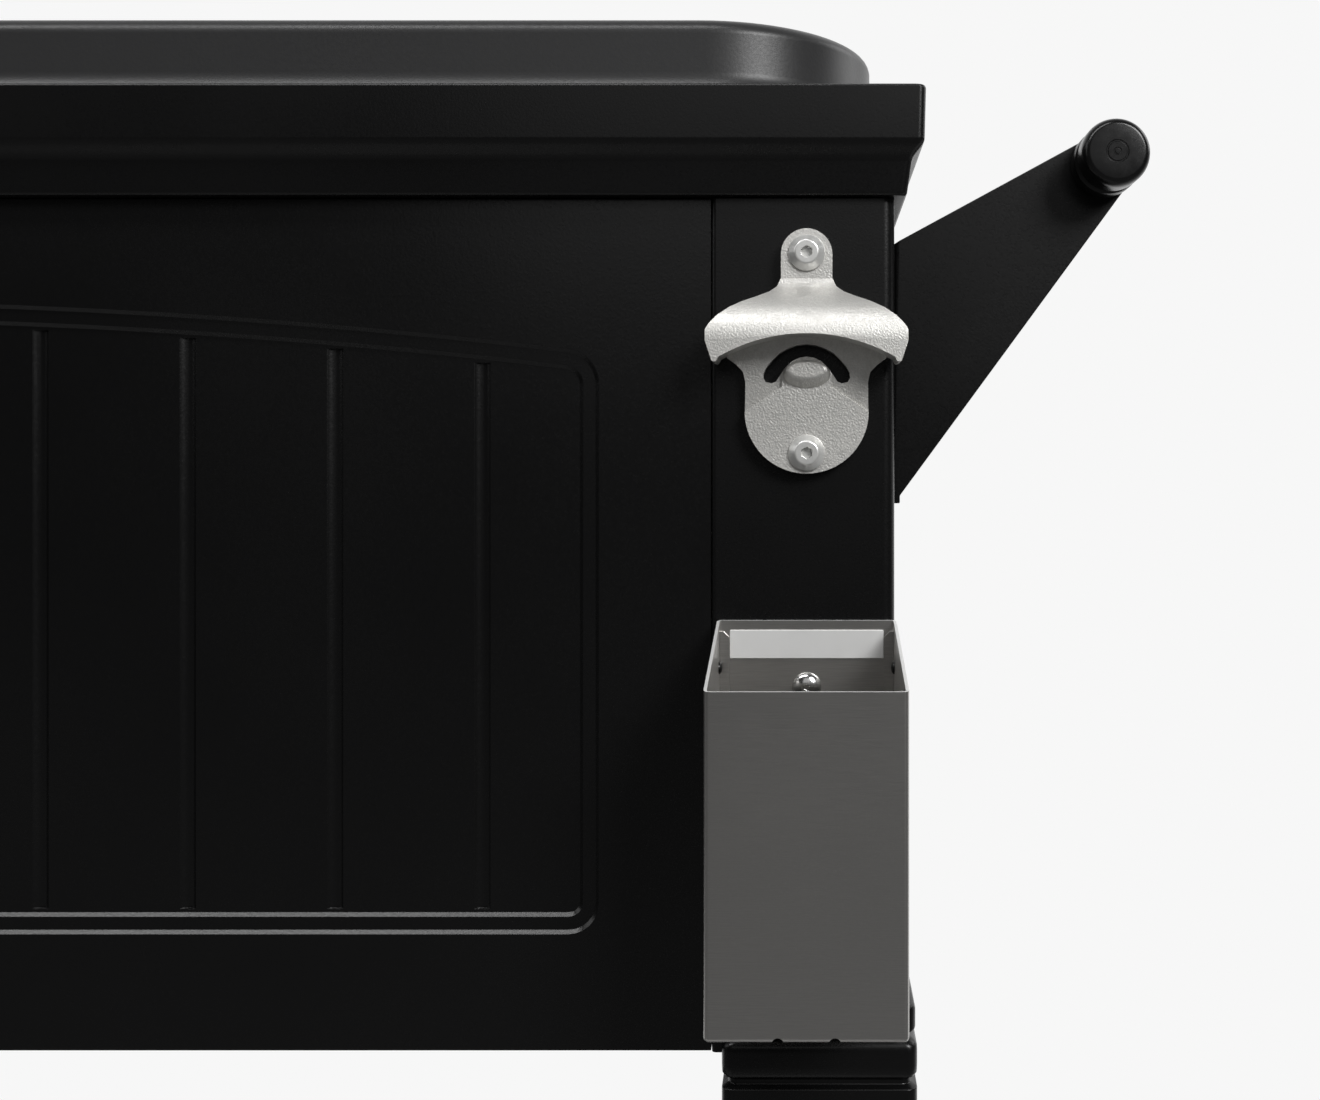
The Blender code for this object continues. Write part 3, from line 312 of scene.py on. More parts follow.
def makeFinish(name, look):
    # broad patches vary colour and roughness, a fine grain gives the bump
    material = bpy.data.materials.new(name)
    material.use_nodes = True
    nodes, links = material.node_tree.nodes, material.node_tree.links
    shader = nodes["Principled BSDF"]
    shader.inputs["Metallic"].default_value = look.get("metal", 0.0)
    shader.inputs["Specular IOR Level"].default_value = look.get("shine", 0.5)
    coordinates = nodes.new("ShaderNodeTexCoord")
    mapping = nodes.new("ShaderNodeMapping")
    mapping.inputs["Location"].default_value = -middle
    links.new(coordinates.outputs["Object"], mapping.inputs["Vector"])
    grainMapping = nodes.new("ShaderNodeMapping")
    grainMapping.inputs["Scale"].default_value = look.get("stretch", (1, 1, 1))
    links.new(mapping.outputs["Vector"], grainMapping.inputs["Vector"])

    patches = nodes.new("ShaderNodeTexNoise")
    patches.inputs["Scale"].default_value = look["patch"]
    patches.inputs["Detail"].default_value = 4
    links.new(mapping.outputs["Vector"], patches.inputs["Vector"])
    grain = nodes.new("ShaderNodeTexNoise")
    grain.inputs["Scale"].default_value = look["grain"]
    grain.inputs["Detail"].default_value = 3
    links.new(grainMapping.outputs["Vector"], grain.inputs["Vector"])

    colour = nodes.new("ShaderNodeMix")
    colour.data_type = "RGBA"
    colour.inputs["A"].default_value = (*look["colour"], 1)
    colour.inputs["B"].default_value = (*look["other"], 1)
    mottle = nodes.new("ShaderNodeMix")
    mottle.inputs["Factor"].default_value = look.get("streaks", 0.0)
    links.new(patches.outputs["Fac"], mottle.inputs["A"])
    links.new(grain.outputs["Fac"], mottle.inputs["B"])
    links.new(mottle.outputs["Result"], colour.inputs["Factor"])
    links.new(colour.outputs["Result"], shader.inputs["Base Color"])

    both = nodes.new("ShaderNodeMath")
    both.operation = "ADD"
    links.new(patches.outputs["Fac"], both.inputs[0])
    links.new(grain.outputs["Fac"], both.inputs[1])
    rough = nodes.new("ShaderNodeMapRange")
    rough.inputs["From Min"].default_value = 0.7
    rough.inputs["From Max"].default_value = 1.3
    rough.inputs["To Min"].default_value, rough.inputs["To Max"].default_value = look["rough"]
    links.new(both.outputs["Value"], rough.inputs["Value"])
    links.new(rough.outputs["Result"], shader.inputs["Roughness"])

    bump = nodes.new("ShaderNodeBump")
    bump.inputs["Distance"].default_value = look["depth"]
    links.new(grain.outputs["Fac"], bump.inputs["Height"])
    links.new(bump.outputs["Normal"], shader.inputs["Normal"])
    return material


finish = {name: makeFinish(name, look) for name, look in finishes.items()}
keptNodes = {"bottom_pan": "panelEnamel", "shelf": "panelEnamel", "foam_jacket": "paleFoam",
             "lid_left_foam": "paleFoam", "lid_right_foam": "paleFoam",
             "hinge_rod_left": "zincPlate", "hinge_rod_right": "zincPlate"}
for nodeName, look in keptNodes.items():
    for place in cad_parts[nodeName].material_slots:
        place.material = finish[look]
print("finishes made")


# wall panels

panel = {"thickness": 0.005, "height": 0.2922, "margin": 0.0385, "low": 0.0398, "shoulder": 0.2396,
         "corner": 0.0105, "step": 0.0056, "slope": 0.0013, "depth": 0.0013, "groovePitch": 0.0508,
         "grooveRadius": 0.0036, "grooveDepth": 0.0013, "edge": 0.0005}


def makePanel(name, half, faceY, rise, grooves):
    body = addBlock(name, at(-half, faceY, 0), at(half, faceY + panel["thickness"], panel["height"]))
    field = half - panel["margin"]
    radius = (field ** 2 + rise ** 2) / (2 * rise)
    arch = panel["shoulder"] + rise - radius
    cutter = addDisc("fieldCutter", at(0, faceY - 0.002, arch), radius, (0, -1, 0), 640)
    edit(cutter)
    for place, way in ((at(field, 0, 0), (1, 0, 0)), (at(-field, 0, 0), (-1, 0, 0)),
                       (at(0, 0, panel["low"]), (0, 0, -1))):
        bpy.ops.mesh.select_all(action="SELECT")
        bpy.ops.mesh.bisect(plane_co=place, plane_no=way, clear_outer=True)
    pick(cutter, "VERT", lambda place, normal: field - 0.016 < abs(place.x - middle.x) < field - 0.0001)
    bpy.ops.mesh.dissolve_verts()  # leaves room for the corner rounds
    pick(cutter, "VERT", lambda place, normal: abs(place.x - middle.x) > field - 0.00001)
    bpy.ops.mesh.bevel(offset=panel["corner"], segments=6, affect="VERTICES", clamp_overlap=False)
    bpy.ops.mesh.select_mode(type="FACE")
    bpy.ops.mesh.select_all(action="SELECT")
    extrudeBy((0, 0.002, 0))
    bpy.ops.mesh.inset(thickness=panel["slope"], depth=-panel["depth"])
    bpy.ops.mesh.inset(thickness=panel["step"] - panel["slope"], depth=0)
    bpy.ops.mesh.inset(thickness=panel["slope"], depth=-panel["depth"])
    closeUp()
    combine(body, cutter)
    centreY = faceY + 2 * panel["depth"] + panel["grooveDepth"] - panel["grooveRadius"]
    flutes = []
    for i in range(-grooves, grooves + 1):
        x = i * panel["groovePitch"]
        top = arch + sqrt((radius - panel["step"]) ** 2 - x ** 2) - 0.0024
        flutes.append(turnPiece("flute", at(x, centreY, 0), (0, 0, 1),
                                [(panel["grooveRadius"], panel["low"] + panel["step"] + 0.0024),
                                 (panel["grooveRadius"], top)], 24))
    combine(body, joinTo(*flutes))
    return soften(body, panel["edge"], 3)


longPanel = makePanel("frontPanel", 0.333, -0.1985, 0.018, 5)
backPanel = copyTurned(longPanel, "backPanel", 180)
finishPiece(longPanel, "chest", "black_enamel", finish["panelEnamel"], "front_panel")
finishPiece(backPanel, "chest", "black_enamel", finish["panelEnamel"], "back_panel")
sidePanel = makePanel("sidePanel", 0.137, -0.3945, 0.011, 1)
for name, degrees, node in (("rightPanel", 90, "right_panel"), ("leftPanel", 270, "left_panel")):
    finishPiece(copyTurned(sidePanel, name, degrees), "chest", "black_enamel", finish["panelEnamel"], node)
bpy.data.objects.remove(sidePanel)
print("panels made")


# corner posts

post = {"x": 0.396, "y": -0.200, "width": 0.0627, "thickness": 0.0065, "height": 0.2922, "corner": 0.004,
        "edge": 0.0016}


def makePost(name):
    low = at(post["x"] - post["width"], post["y"], 0)
    high = at(post["x"], post["y"] + post["width"], post["height"])
    body = addBlock(name, low, high)
    wall = post["thickness"]
    combine(body, addBlock("postCutter", (low.x - 0.01, low.y + wall, low.z - 0.01),
                           (high.x - wall, high.y + 0.01, high.z + 0.01)))
    edit(body)
    pick(body, "EDGE",
         lambda place, way: abs(way.z) > 0.1 and place.x > high.x - 0.0001 and place.y < low.y + 0.0001)
    bpy.ops.mesh.bevel(offset=post["corner"], segments=6, affect="EDGES")
    pick(body, "EDGE", lambda place, way: abs(way.z) > 0.1 and (
        (place.x < low.x + 0.0001 and place.y < low.y + 0.0001)
        or (place.x > high.x - 0.0001 and place.y > high.y - 0.0001)))
    bpy.ops.mesh.bevel(offset=post["edge"], segments=4, affect="EDGES")
    closeUp()
    return soften(body, 0)


frontPost = makePost("postFrontRight")
spare = post["x"] + post["y"]  # the chest's half length less its half depth
for name, node, degrees, side in (("postBackLeft", "back_left", 180, 0),
                                  ("postBackRight", "back_right", 90, 1),
                                  ("postFrontLeft", "front_left", 270, -1)):
    copy = copyTurned(frontPost, name, degrees)
    # a quarter turn swaps length and depth, so the post goes on to its own corner
    copy.data.transform(Matrix.Translation((side * spare, -side * spare, 0)))
    finishPiece(copy, "chest", "black_frame", finish["frameEnamel"], f"corner_post_{node}")
finishPiece(frontPost, "chest", "black_frame", finish["frameEnamel"], "corner_post_front_right")
print("posts made")


# cornice

cornice = {"halfLength": 0.396, "halfDepth": 0.200, "corner": 0.0025, "inner": 0.0117, "mouth": 0.0503,
           "low": [(0.0033, 0.2925), (0.0040, 0.2933), (0.0052, 0.3020)],
           "ogee": ((0.0054, 0.3035), (0.0096, 0.3110)),
           "high": [(0.0100, 0.3278), (0.0096, 0.3287), (0.0088, 0.3290)]}
(lowOffset, lowHeight), (highOffset, highHeight) = cornice["ogee"]
ogee = [(lowOffset + (highOffset - lowOffset) * (1 - cos(pi * i / 10)) / 2,
         lowHeight + (highHeight - lowHeight) * i / 10) for i in range(11)]
halfX, halfY, inner = cornice["halfLength"], cornice["halfDepth"], cornice["inner"]
corniceFrame = raisePiece("corniceFrame", *around(halfX, halfY), (cornice["corner"],) * 2,
                          cornice["low"] + ogee + cornice["high"], 5)
closeUp()
opening = raisePiece("opening", *around(halfX - inner, halfY - inner), (cornice["mouth"],) * 2,
                     [(0, 0.28), (0, 0.34)], 16)
closeUp()
combine(corniceFrame, opening)
soften(corniceFrame, 0.0003, 2)
finishPiece(corniceFrame, "chest", "black_frame", finish["frameEnamel"], "cornice_frame")
print("cornice made")


# lids, the right one modelled and turned half round for the left

lid = {"inner": 0.040, "outer": 0.390, "half": 0.194, "low": 0.3297, "top": 0.3573, "corners": (0.060, 0.005),
       "sheet": 0.0012, "hingeX": 0.034, "hingeZ": 0.349, "knuckle": 0.005, "rodRoom": 0.0034,
       "knuckleHalf": 0.178, "linerGap": 0.0017, "linerCorner": 0.036, "linerSheet": 0.0014,
       "gasketGap": 0.0065, "gasketWidth": 0.009}


def lidPlan(grow=0.0):
    low = (middle.x + lid["inner"] - grow, middle.y - lid["half"] - grow)
    high = (middle.x + lid["outer"] + grow, middle.y + lid["half"] + grow)
    return low, high, tuple(radius + grow for radius in lid["corners"])


low, high, radii = lidPlan()
roll = [(-0.0062 * (1 - cos(pi / 2 * i / 9)),
         lid["top"] - 0.0068 + 0.0060 * sin(pi / 2 * i / 9)) for i in range(10)]
lip = [(0.0024, lid["low"]), (0.0023, lid["low"] + 0.0010), (0.0015, lid["low"] + 0.0026),
       (0.0005, lid["low"] + 0.0046), (0, lid["low"] + 0.0075)]
crown = [(-0.030, lid["top"] - 0.0003), (-0.080, lid["top"])]
skin = raisePiece("lidSkin", low, high, radii, lip + roll + crown, 20)
pick(skin, "FACE", lambda place, normal: place.z < middle.z + lid["low"] + 0.00001)
bpy.ops.mesh.delete(type="FACE")
closeUp()
useModifier(skin, "SOLIDIFY", thickness=lid["sheet"], offset=-1, use_even_offset=True)
soften(skin, 0.0002, 2, 50)

hinge = at(lid["hingeX"], 0, lid["hingeZ"])
reach = lid["knuckleHalf"]
knuckle = turnPiece("lidKnuckle", hinge, (0, 1, 0), [(lid["knuckle"], -reach), (lid["knuckle"], reach)], 40)
combine(knuckle, addBlock("web", hinge + Vector((0.003, -reach, -0.002)),
                          hinge + Vector((0.0070, reach, 0.002))), "UNION")
combine(knuckle, turnPiece("bore", hinge, (0, 1, 0), [(lid["rodRoom"], -0.2), (lid["rodRoom"], 0.2)], 32))
soften(knuckle, 0.0003, 2, 40)

low, high, radii = lidPlan(-lid["linerGap"])
tub = [(0, 0.3325), (-0.0200, 0.3325), (-0.0212, 0.3322), (-0.0222, 0.3312), (-0.0226, 0.3298),
       (-0.0230, 0.3190), (-0.0236, 0.3176), (-0.0248, 0.3168), (-0.0262, 0.3165), (-0.040, 0.3165),
       (-0.044, 0.3180), (-0.090, 0.3180)]
liner = raisePiece("lidLiner", low, high, (lid["linerCorner"], radii[1]), tub, 12)
pick(liner, "FACE",
     lambda place, normal: place.z > middle.z + 0.33249 and abs(place.x - middle.x - 0.215) < 0.02
     and abs(place.y - middle.y) < 0.02)
bpy.ops.mesh.delete(type="FACE")
closeUp()
useModifier(liner, "SOLIDIFY", thickness=lid["linerSheet"], offset=0)
trim = raisePiece("trim", low, high, radii, [(0, 0.30), (0, 0.35)], 16)
closeUp()
combine(liner, trim, "INTERSECT")
soften(liner, 0)

low, high, radii = lidPlan(-lid["gasketGap"])
gasket = raisePiece("lidGasket", low, high, radii,
                    [(0, 0.3293), (0, 0.3300), (-0.0004, 0.3310), (-0.0012, 0.3317)], 10)
pick(gasket, "FACE", lambda place, normal: abs(normal.z) > 0.99 and abs(place.y - middle.y) < 0.02)
bpy.ops.mesh.inset(thickness=lid["gasketWidth"], depth=0)
bpy.ops.mesh.bridge_edge_loops()
closeUp()
soften(gasket, 0)

handle = {"half": 0.055, "reach": 0.022, "radius": 0.004, "bend": 0.012, "z": 0.342, "wall": 0.3903}
bow = addDisc("lidHandle", at(handle["wall"], -handle["half"], handle["z"]), handle["radius"], (1, 0, 0), 24)
edit(bow)
bendX = handle["wall"] + handle["reach"] - 0.0003 - handle["bend"]
extrudeBy((bendX - handle["wall"], 0, 0))
bpy.ops.mesh.spin(steps=10, angle=-pi / 2, center=at(bendX, -handle["half"] + handle["bend"], handle["z"]),
                  axis=(0, 0, 1))
extrudeBy((0, 2 * handle["half"] - 2 * handle["bend"], 0))
bpy.ops.mesh.spin(steps=10, angle=-pi / 2, center=at(bendX, handle["half"] - handle["bend"], handle["z"]),
                  axis=(0, 0, 1))
extrudeBy((handle["wall"] - bendX, 0, 0))
closeUp()
feet = [turnPiece("foot", at(handle["wall"], y, handle["z"]), (1, 0, 0),
                  [(0.007, 0), (0.007, 0.0018), (0.0064, 0.0026), (0.0052, 0.003)], 32)
        for y in (-handle["half"], handle["half"])]
joinTo(bow, *feet)
soften(bow, 0)

for piece, part, look, slot, node in (
        (skin, "Skin", "lidEnamel", "black_enamel", ("skin",)),
        (knuckle, "Knuckle", "lidEnamel", "black_enamel", ()),
        (liner, "Liner", "linerPlastic", "liner_plastic", ("liner",)),
        (gasket, "Gasket", "gasketRubber", "gasket_rubber", ("gasket",)),
        (bow, "Handle", "brushedSteel", "brushed_stainless", ("handle",))):
    left = copyTurned(piece, f"leftLid{part}", 180)
    piece.name = f"rightLid{part}"
    finishPiece(piece, "lid_right", slot, finish[look], *[f"lid_right_{name}" for name in node])
    finishPiece(left, "lid_left", slot, finish[look], *[f"lid_left_{name}" for name in node])
print("lids made")


# bar between the lids, and the basin

bridge = {"half": 0.028, "end": 0.190, "low": 0.3293, "top": 0.3540, "ledge": 0.0585, "mouth": 0.172,
          "ledgeLow": 0.3255, "ledgeTop": 0.3290, "lugInner": 0.181, "lugOuter": 0.1895, "edge": 0.0012}
bar = addBlock("centreBridge", at(-bridge["half"], -bridge["end"], bridge["low"]),
               at(bridge["half"], bridge["end"], bridge["top"]))
combine(bar, addBlock("keel", at(-0.027, -bridge["mouth"], bridge["ledgeLow"]),
                      at(0.027, bridge["mouth"], 0.340)), "UNION")
combine(bar, addBlock("ledge", at(-bridge["ledge"], -bridge["mouth"], bridge["ledgeLow"]),
                      at(bridge["ledge"], bridge["mouth"], bridge["ledgeTop"])), "UNION")
for x in (-lid["hingeX"], lid["hingeX"]):
    for side in (-1, 1):
        lug = turnPiece("lug", at(x, side * bridge["lugInner"], lid["hingeZ"]), (0, side, 0),
                        [(0.0050, 0), (0.0050, bridge["lugOuter"] - bridge["lugInner"])], 32)
        inner, outer = sorted((x, x / abs(x) * 0.026))
        near, far = sorted((side * bridge["lugInner"], side * bridge["lugOuter"]))
        combine(lug, addBlock("arm", at(inner, near, lid["hingeZ"] - 0.0049),
                              at(outer, far, lid["hingeZ"] + 0.0049)), "UNION")
        combine(bar, lug, "UNION")
soften(bar, bridge["edge"], 4)
finishPiece(bar, "chest", "black_frame", finish["lidEnamel"], "centre_bridge")

basin = {"halfLength": 0.370, "halfDepth": 0.174, "corner": 0.036, "rim": 0.0497, "sheet": 0.0015,
         "drain": (-0.290, 0.105, 0.0098),
         "section": [(-0.020, 0.0290), (-0.015, 0.0292), (-0.0105, 0.0301), (-0.0072, 0.0319),
                     (-0.0049, 0.0347), (-0.0037, 0.0380), (-0.0032, 0.0420), (0, 0.3250), (0.0002, 0.3266),
                     (0.0008, 0.3280), (0.0016, 0.3287), (0.0026, 0.3290), (0.0137, 0.3290)]}
halfX, halfY = basin["halfLength"], basin["halfDepth"]
bowl = raisePiece("coolerBasin", *around(halfX, halfY), (basin["corner"],) * 2, basin["section"], 12)
bpy.ops.mesh.delete(type="FACE")  # the cap over the mouth
closeUp()
if max(bowl.data.polygons, key=lambda face: face.area).normal.z < 0:
    bowl.data.flip_normals()
useModifier(bowl, "SOLIDIFY", thickness=basin["sheet"], offset=-1, use_even_offset=True)
rimOut = basin["section"][-1][0]
trim = raisePiece("trim", *around(halfX + rimOut, halfY + rimOut), (basin["rim"],) * 2,
                  [(0, 0.02), (0, 0.34)], 16)
closeUp()
combine(bowl, trim, "INTERSECT")
drainX, drainY, drainRadius = basin["drain"]
combine(bowl, turnPiece("drainBore", at(drainX, drainY, 0), (0, 0, 1),
                        [(drainRadius, 0.01), (drainRadius, 0.05)], 40))
soften(bowl, 0)
finishPiece(bowl, "chest", "basin_steel", finish["basinSteel"], "basin")

spout = turnPiece("drainSpout", at(drainX, drainY, 0), (0, 0, 1),
                  [(0.0095, -0.0245), (0.0095, 0.0293), (0.0160, 0.0293), (0.0160, 0.0305), (0.0150, 0.0311),
                   (0.0076, 0.0313)], 40)
combine(spout, turnPiece("spoutBore", at(drainX, drainY, 0), (0, 0, 1),
                         [(0.0070, -0.03), (0.0070, 0.04)], 40))
soften(spout, 0.0003, 2)
finishPiece(spout, "chest", "drain_plastic", finish["drainPlastic"], "drain_spout")
cap = turnPiece("drainCap", at(drainX, drainY, 0), (0, 0, 1),
                [(0.0118, -0.0295), (0.0132, -0.0289), (0.0140, -0.0275), (0.0140, -0.0100),
                 (0.0135, -0.0090)], 48)
for size in ((0.0175, 0.0015), (0.0015, 0.0175)):
    combine(cap, addBlock("wing", at(drainX - size[0], drainY - size[1], -0.0280),
                          at(drainX + size[0], drainY + size[1], -0.0110)), "UNION")
combine(cap, turnPiece("hollow", at(drainX, drainY, 0), (0, 0, 1), [(0.0104, -0.0265), (0.0104, 0.01)], 40))
soften(cap, 0.0005, 2)
finishPiece(cap, "drain_cap", "drain_plastic", finish["drainPlastic"], "drain_cap")
print("bridge, basin and drain made")


# legs: collar, bead, block and tapering shaft on a foot block

leg = {"x": 0.37015, "y": -0.17415, "half": 0.03315, "corner": 0.003, "proud": 0.0073, "socket": 0.0062,
       "section": [(-0.0062, -0.4850), (-0.0042, -0.4830), (-0.0042, -0.4150), (-0.0089, -0.4150),
                   (-0.0075, -0.0800), (-0.0068, -0.0740), (-0.0040, -0.0690), (-0.0020, -0.0670),
                   (-0.0020, -0.0640), (0.0000, -0.0620), (0.0000, -0.0096), (-0.0022, -0.0086),
                   (-0.0022, -0.0068), (-0.0009, -0.0060), (-0.0001, -0.0046), (0.0000, -0.0020),
                   (0.0000, 0.0026), (-0.0001, 0.0044), (-0.0009, 0.0058), (-0.0024, 0.0066),
                   (-0.0024, 0.0084), (-0.0009, 0.0092), (-0.0006, 0.0104), (-0.0006, 0.0166),
                   (-0.0010, 0.0175), (-0.0018, 0.0179)]}
low = (middle.x + leg["x"] - leg["half"], middle.y + leg["y"] - leg["half"])
high = (middle.x + leg["x"] + leg["half"], middle.y + leg["y"] + leg["half"])
firstLeg = raisePiece("legTube_front_right", low, high, (leg["corner"],) * 2, leg["section"], 4)
closeUp()
reach = leg["half"] - leg["proud"] + 0.0003
combine(firstLeg, addBlock("pocket", at(leg["x"] - 0.05, leg["y"] - reach, -0.0003),
                           at(leg["x"] + reach, leg["y"] + 0.05, 0.05)))
combine(firstLeg, turnPiece("socket", at(leg["x"], leg["y"], 0), (0, 0, 1),
                            [(leg["socket"], -0.50), (leg["socket"], -0.445)], 32))
soften(firstLeg, 0.0004, 2, 40)


def cornerPlace(corner):
    # how far a piece of the front right corner moves after its turn to reach another corner
    along, across = leg["x"], leg["y"]
    turned = {"front_right": (along, across), "back_right": (-across, along), "back_left": (-along, -across),
              "front_left": (across, -along)}[corner]
    wanted = (along if "right" in corner else -along, across if "front" in corner else -across)
    return Vector((wanted[0] - turned[0], wanted[1] - turned[1], 0))


def toCorner(piece, name, corner, degrees):
    copy = copyTurned(piece, name, degrees)
    copy.data.transform(Matrix.Translation(cornerPlace(corner)))
    return copy


for corner, degrees in corners[1:]:
    finishPiece(toCorner(firstLeg, f"legTube_{corner}", corner, degrees), "chest", "black_frame",
                finish["frameEnamel"], f"leg_{corner}")
finishPiece(firstLeg, "chest", "black_frame", finish["frameEnamel"], "leg_front_right")
print("legs made")


# casters

caster = {"trail": 0.025, "radius": 0.0375, "half": 0.0165, "slot": 0.0125, "slotTop": 0.0865,
          "pivot": (0.036, 0.081)}
swivelX, swivelY = middle.x + leg["x"], middle.y + leg["y"]
wheelX, wheelZ = swivelX + caster["trail"], caster["radius"]
pivotX, pivotZ = swivelX + caster["pivot"][0], caster["pivot"][1]


def makeFork(name, braked):
    outline = [(swivelX - 0.022, 0.0900), (swivelX - 0.022, 0.0840),
               *arcPoints((wheelX, wheelZ), 0.009, -150, 20, 16), (pivotX + 0.007, pivotZ - 0.004),
               (pivotX + 0.006, 0.0900)]
    fork = drawnPlate(name, outline, swivelY - caster["half"], swivelY + caster["half"])
    combine(fork, addBlock("slot", (swivelX - 0.05, swivelY - caster["slot"], 0),
                           (swivelX + 0.08, swivelY + caster["slot"], caster["slotTop"])))
    if braked:
        combine(fork, addBlock("pedalRoom", (pivotX - 0.006, swivelY - caster["slot"], 0.080),
                               (pivotX + 0.05, swivelY + caster["slot"], 0.1)))
    top = turnPiece("raceway", (swivelX, swivelY, 0), (0, 0, 1),
                    [(0.0190, 0.0880), (0.0208, 0.0925), (0.0210, 0.0935), (0.0210, 0.0962), (0.0202, 0.0968),
                     (0.0202, 0.0974), (0.0208, 0.0980), (0.0204, 0.0990), (0.0196, 0.0995), (0.0055, 0.0995),
                     (0.0055, 0.1345), (0.0048, 0.1355)], 64)
    combine(fork, top, "UNION")
    return soften(fork, 0.0006, 2)


forks = {True: makeFork("brakedFork", True), False: makeFork("plainFork", False)}
tyre = turnPiece("tyre", (wheelX, swivelY, wheelZ), (0, 1, 0),
                 [(0.0262, -0.0106), (0.0330, -0.0106), (0.0351, -0.0099), (0.0365, -0.0082),
                  (0.0373, -0.0056), (0.0375, -0.0030), (0.0375, 0.0030), (0.0373, 0.0056), (0.0365, 0.0082),
                  (0.0351, 0.0099), (0.0330, 0.0106), (0.0262, 0.0106)], 96)
combine(tyre, turnPiece("rimRoom", (wheelX, swivelY, wheelZ), (0, 1, 0),
                        [(0.0262, -0.02), (0.0262, 0.02)], 96))
soften(tyre, 0.0003, 2)
rim = turnPiece("rim", (wheelX, swivelY, wheelZ), (0, 1, 0),
                [(0.0085, -0.0110), (0.0098, -0.0105), (0.0106, -0.0060), (0.0225, -0.0056),
                 (0.0236, -0.0094), (0.0246, -0.0102), (0.0262, -0.0102), (0.0262, 0.0102), (0.0246, 0.0102),
                 (0.0236, 0.0094), (0.0225, 0.0056), (0.0106, 0.0060), (0.0098, 0.0105),
                 (0.0085, 0.0110)], 96)
windows = []
for i in range(5):
    angle = 2 * pi * i / 5
    windows.append(turnPiece("window", (wheelX + 0.0166 * cos(angle), swivelY, wheelZ + 0.0166 * sin(angle)),
                             (0, 1, 0), [(0.0036, -0.02), (0.0036, 0.02)], 24))
combine(rim, joinTo(*windows))
soften(rim, 0.0005, 2)
head = caster["half"] + 0.0003
axle = turnPiece("axle", (wheelX, swivelY, wheelZ), (0, 1, 0),
                 [(0.0030, -head - 0.0052), (0.0040, -head - 0.0044), (0.0040, -head), (0.0040, head),
                  (0.0070, head), (0.0068, head + 0.0016), (0.0056, head + 0.0034), (0.0036, head + 0.0043),
                  (0.0012, head + 0.0045)], 32)
combine(axle, turnPiece("nut", (wheelX, swivelY, wheelZ), (0, 1, 0),
                        [(0.0066, -head - 0.0040), (0.0070, -head - 0.0036), (0.0070, -head)], 6), "UNION")
soften(axle, 0.0003, 2)
pedalOutline = [(-0.0045, -0.0024), (-0.0038, -0.0030), (0.0100, -0.0030), (0.0115, -0.0092),
                (0.0120, -0.0095), (0.0145, -0.0095), (0.0150, -0.0092), (0.0165, -0.0035), (0.0372, -0.0040),
                (0.0382, -0.0034), (0.0400, 0.0001), (0.0394, 0.0008), (0.0360, 0.0014), (0.0352, 0.0006),
                (0.0344, 0.0018), (0.0310, 0.0022), (0.0302, 0.0014), (0.0294, 0.0026), (0.0260, 0.0030),
                (0.0252, 0.0022), (0.0244, 0.0034), (0.0160, 0.0045), (-0.0038, 0.0045), (-0.0045, 0.0038)]
pedal = drawnPlate("pedal", [(pivotX + x, pivotZ + z) for x, z in pedalOutline],
                   swivelY - 0.0118, swivelY + 0.0118)
combine(pedal, turnPiece("pin", (pivotX, swivelY, pivotZ), (0, 1, 0),
                         [(0.0018, -0.0165), (0.0018, 0.0165)], 20), "UNION")
soften(pedal, 0.0004, 2)
for corner, degrees in corners:
    braked = "front" in corner
    shift = Vector((0 if "right" in corner else -2 * leg["x"], 0 if braked else -2 * leg["y"], 0))
    pieces = [(forks[braked], "fork", f"caster_{corner}", "zinc_steel", "zincPlate", ("fork",)),
              (tyre, "tyre", f"wheel_{corner}", "wheel_rubber", "wheelRubber", ("wheel",)),
              (rim, "rim", f"wheel_{corner}", "wheel_rubber", "drainPlastic", ()),
              (axle, "axle", f"wheel_{corner}", "zinc_steel", "zincPlate", ("axle",))]
    if braked:
        pieces.append((pedal, "pedal", f"brake_{corner}", "brake_plastic", "brakePlastic", ("brake",)))
    for model, part, body, slot, look, nodes in pieces:
        copy = copyTurned(model, f"{part}_{corner}")
        copy.data.transform(Matrix.Translation(shift))
        finishPiece(copy, body, slot, finish[look], *[f"caster_{corner}_{node}" for node in nodes])
for model in (*forks.values(), tyre, rim, axle, pedal):
    bpy.data.objects.remove(model)
print("casters made")


# push handle

grip = {"x": 0.4725, "z": 0.3086, "web": 0.175, "sheet": 0.003, "radius": 0.011, "neck": 0.006,
        "length": 0.0235, "base": 0.3963, "low": 0.187, "high": 0.280, "tip": 0.0113, "flange": 0.030,
        "bend": 0.004, "bolts": (0.2085, 0.2585)}
inner = grip["web"] - grip["sheet"] - 0.0003
gripBar = turnPiece("gripBar", at(grip["x"], 0, grip["z"]), (0, 1, 0),
                    [(grip["neck"], -0.183), (grip["neck"], -inner), (grip["radius"], -inner),
                     (grip["radius"], inner), (grip["neck"], inner), (grip["neck"], 0.183)], 64)
soften(gripBar, 0.0010, 4)
finishPiece(gripBar, "chest", "black_frame", finish["glossEnamel"], "handle_bar")

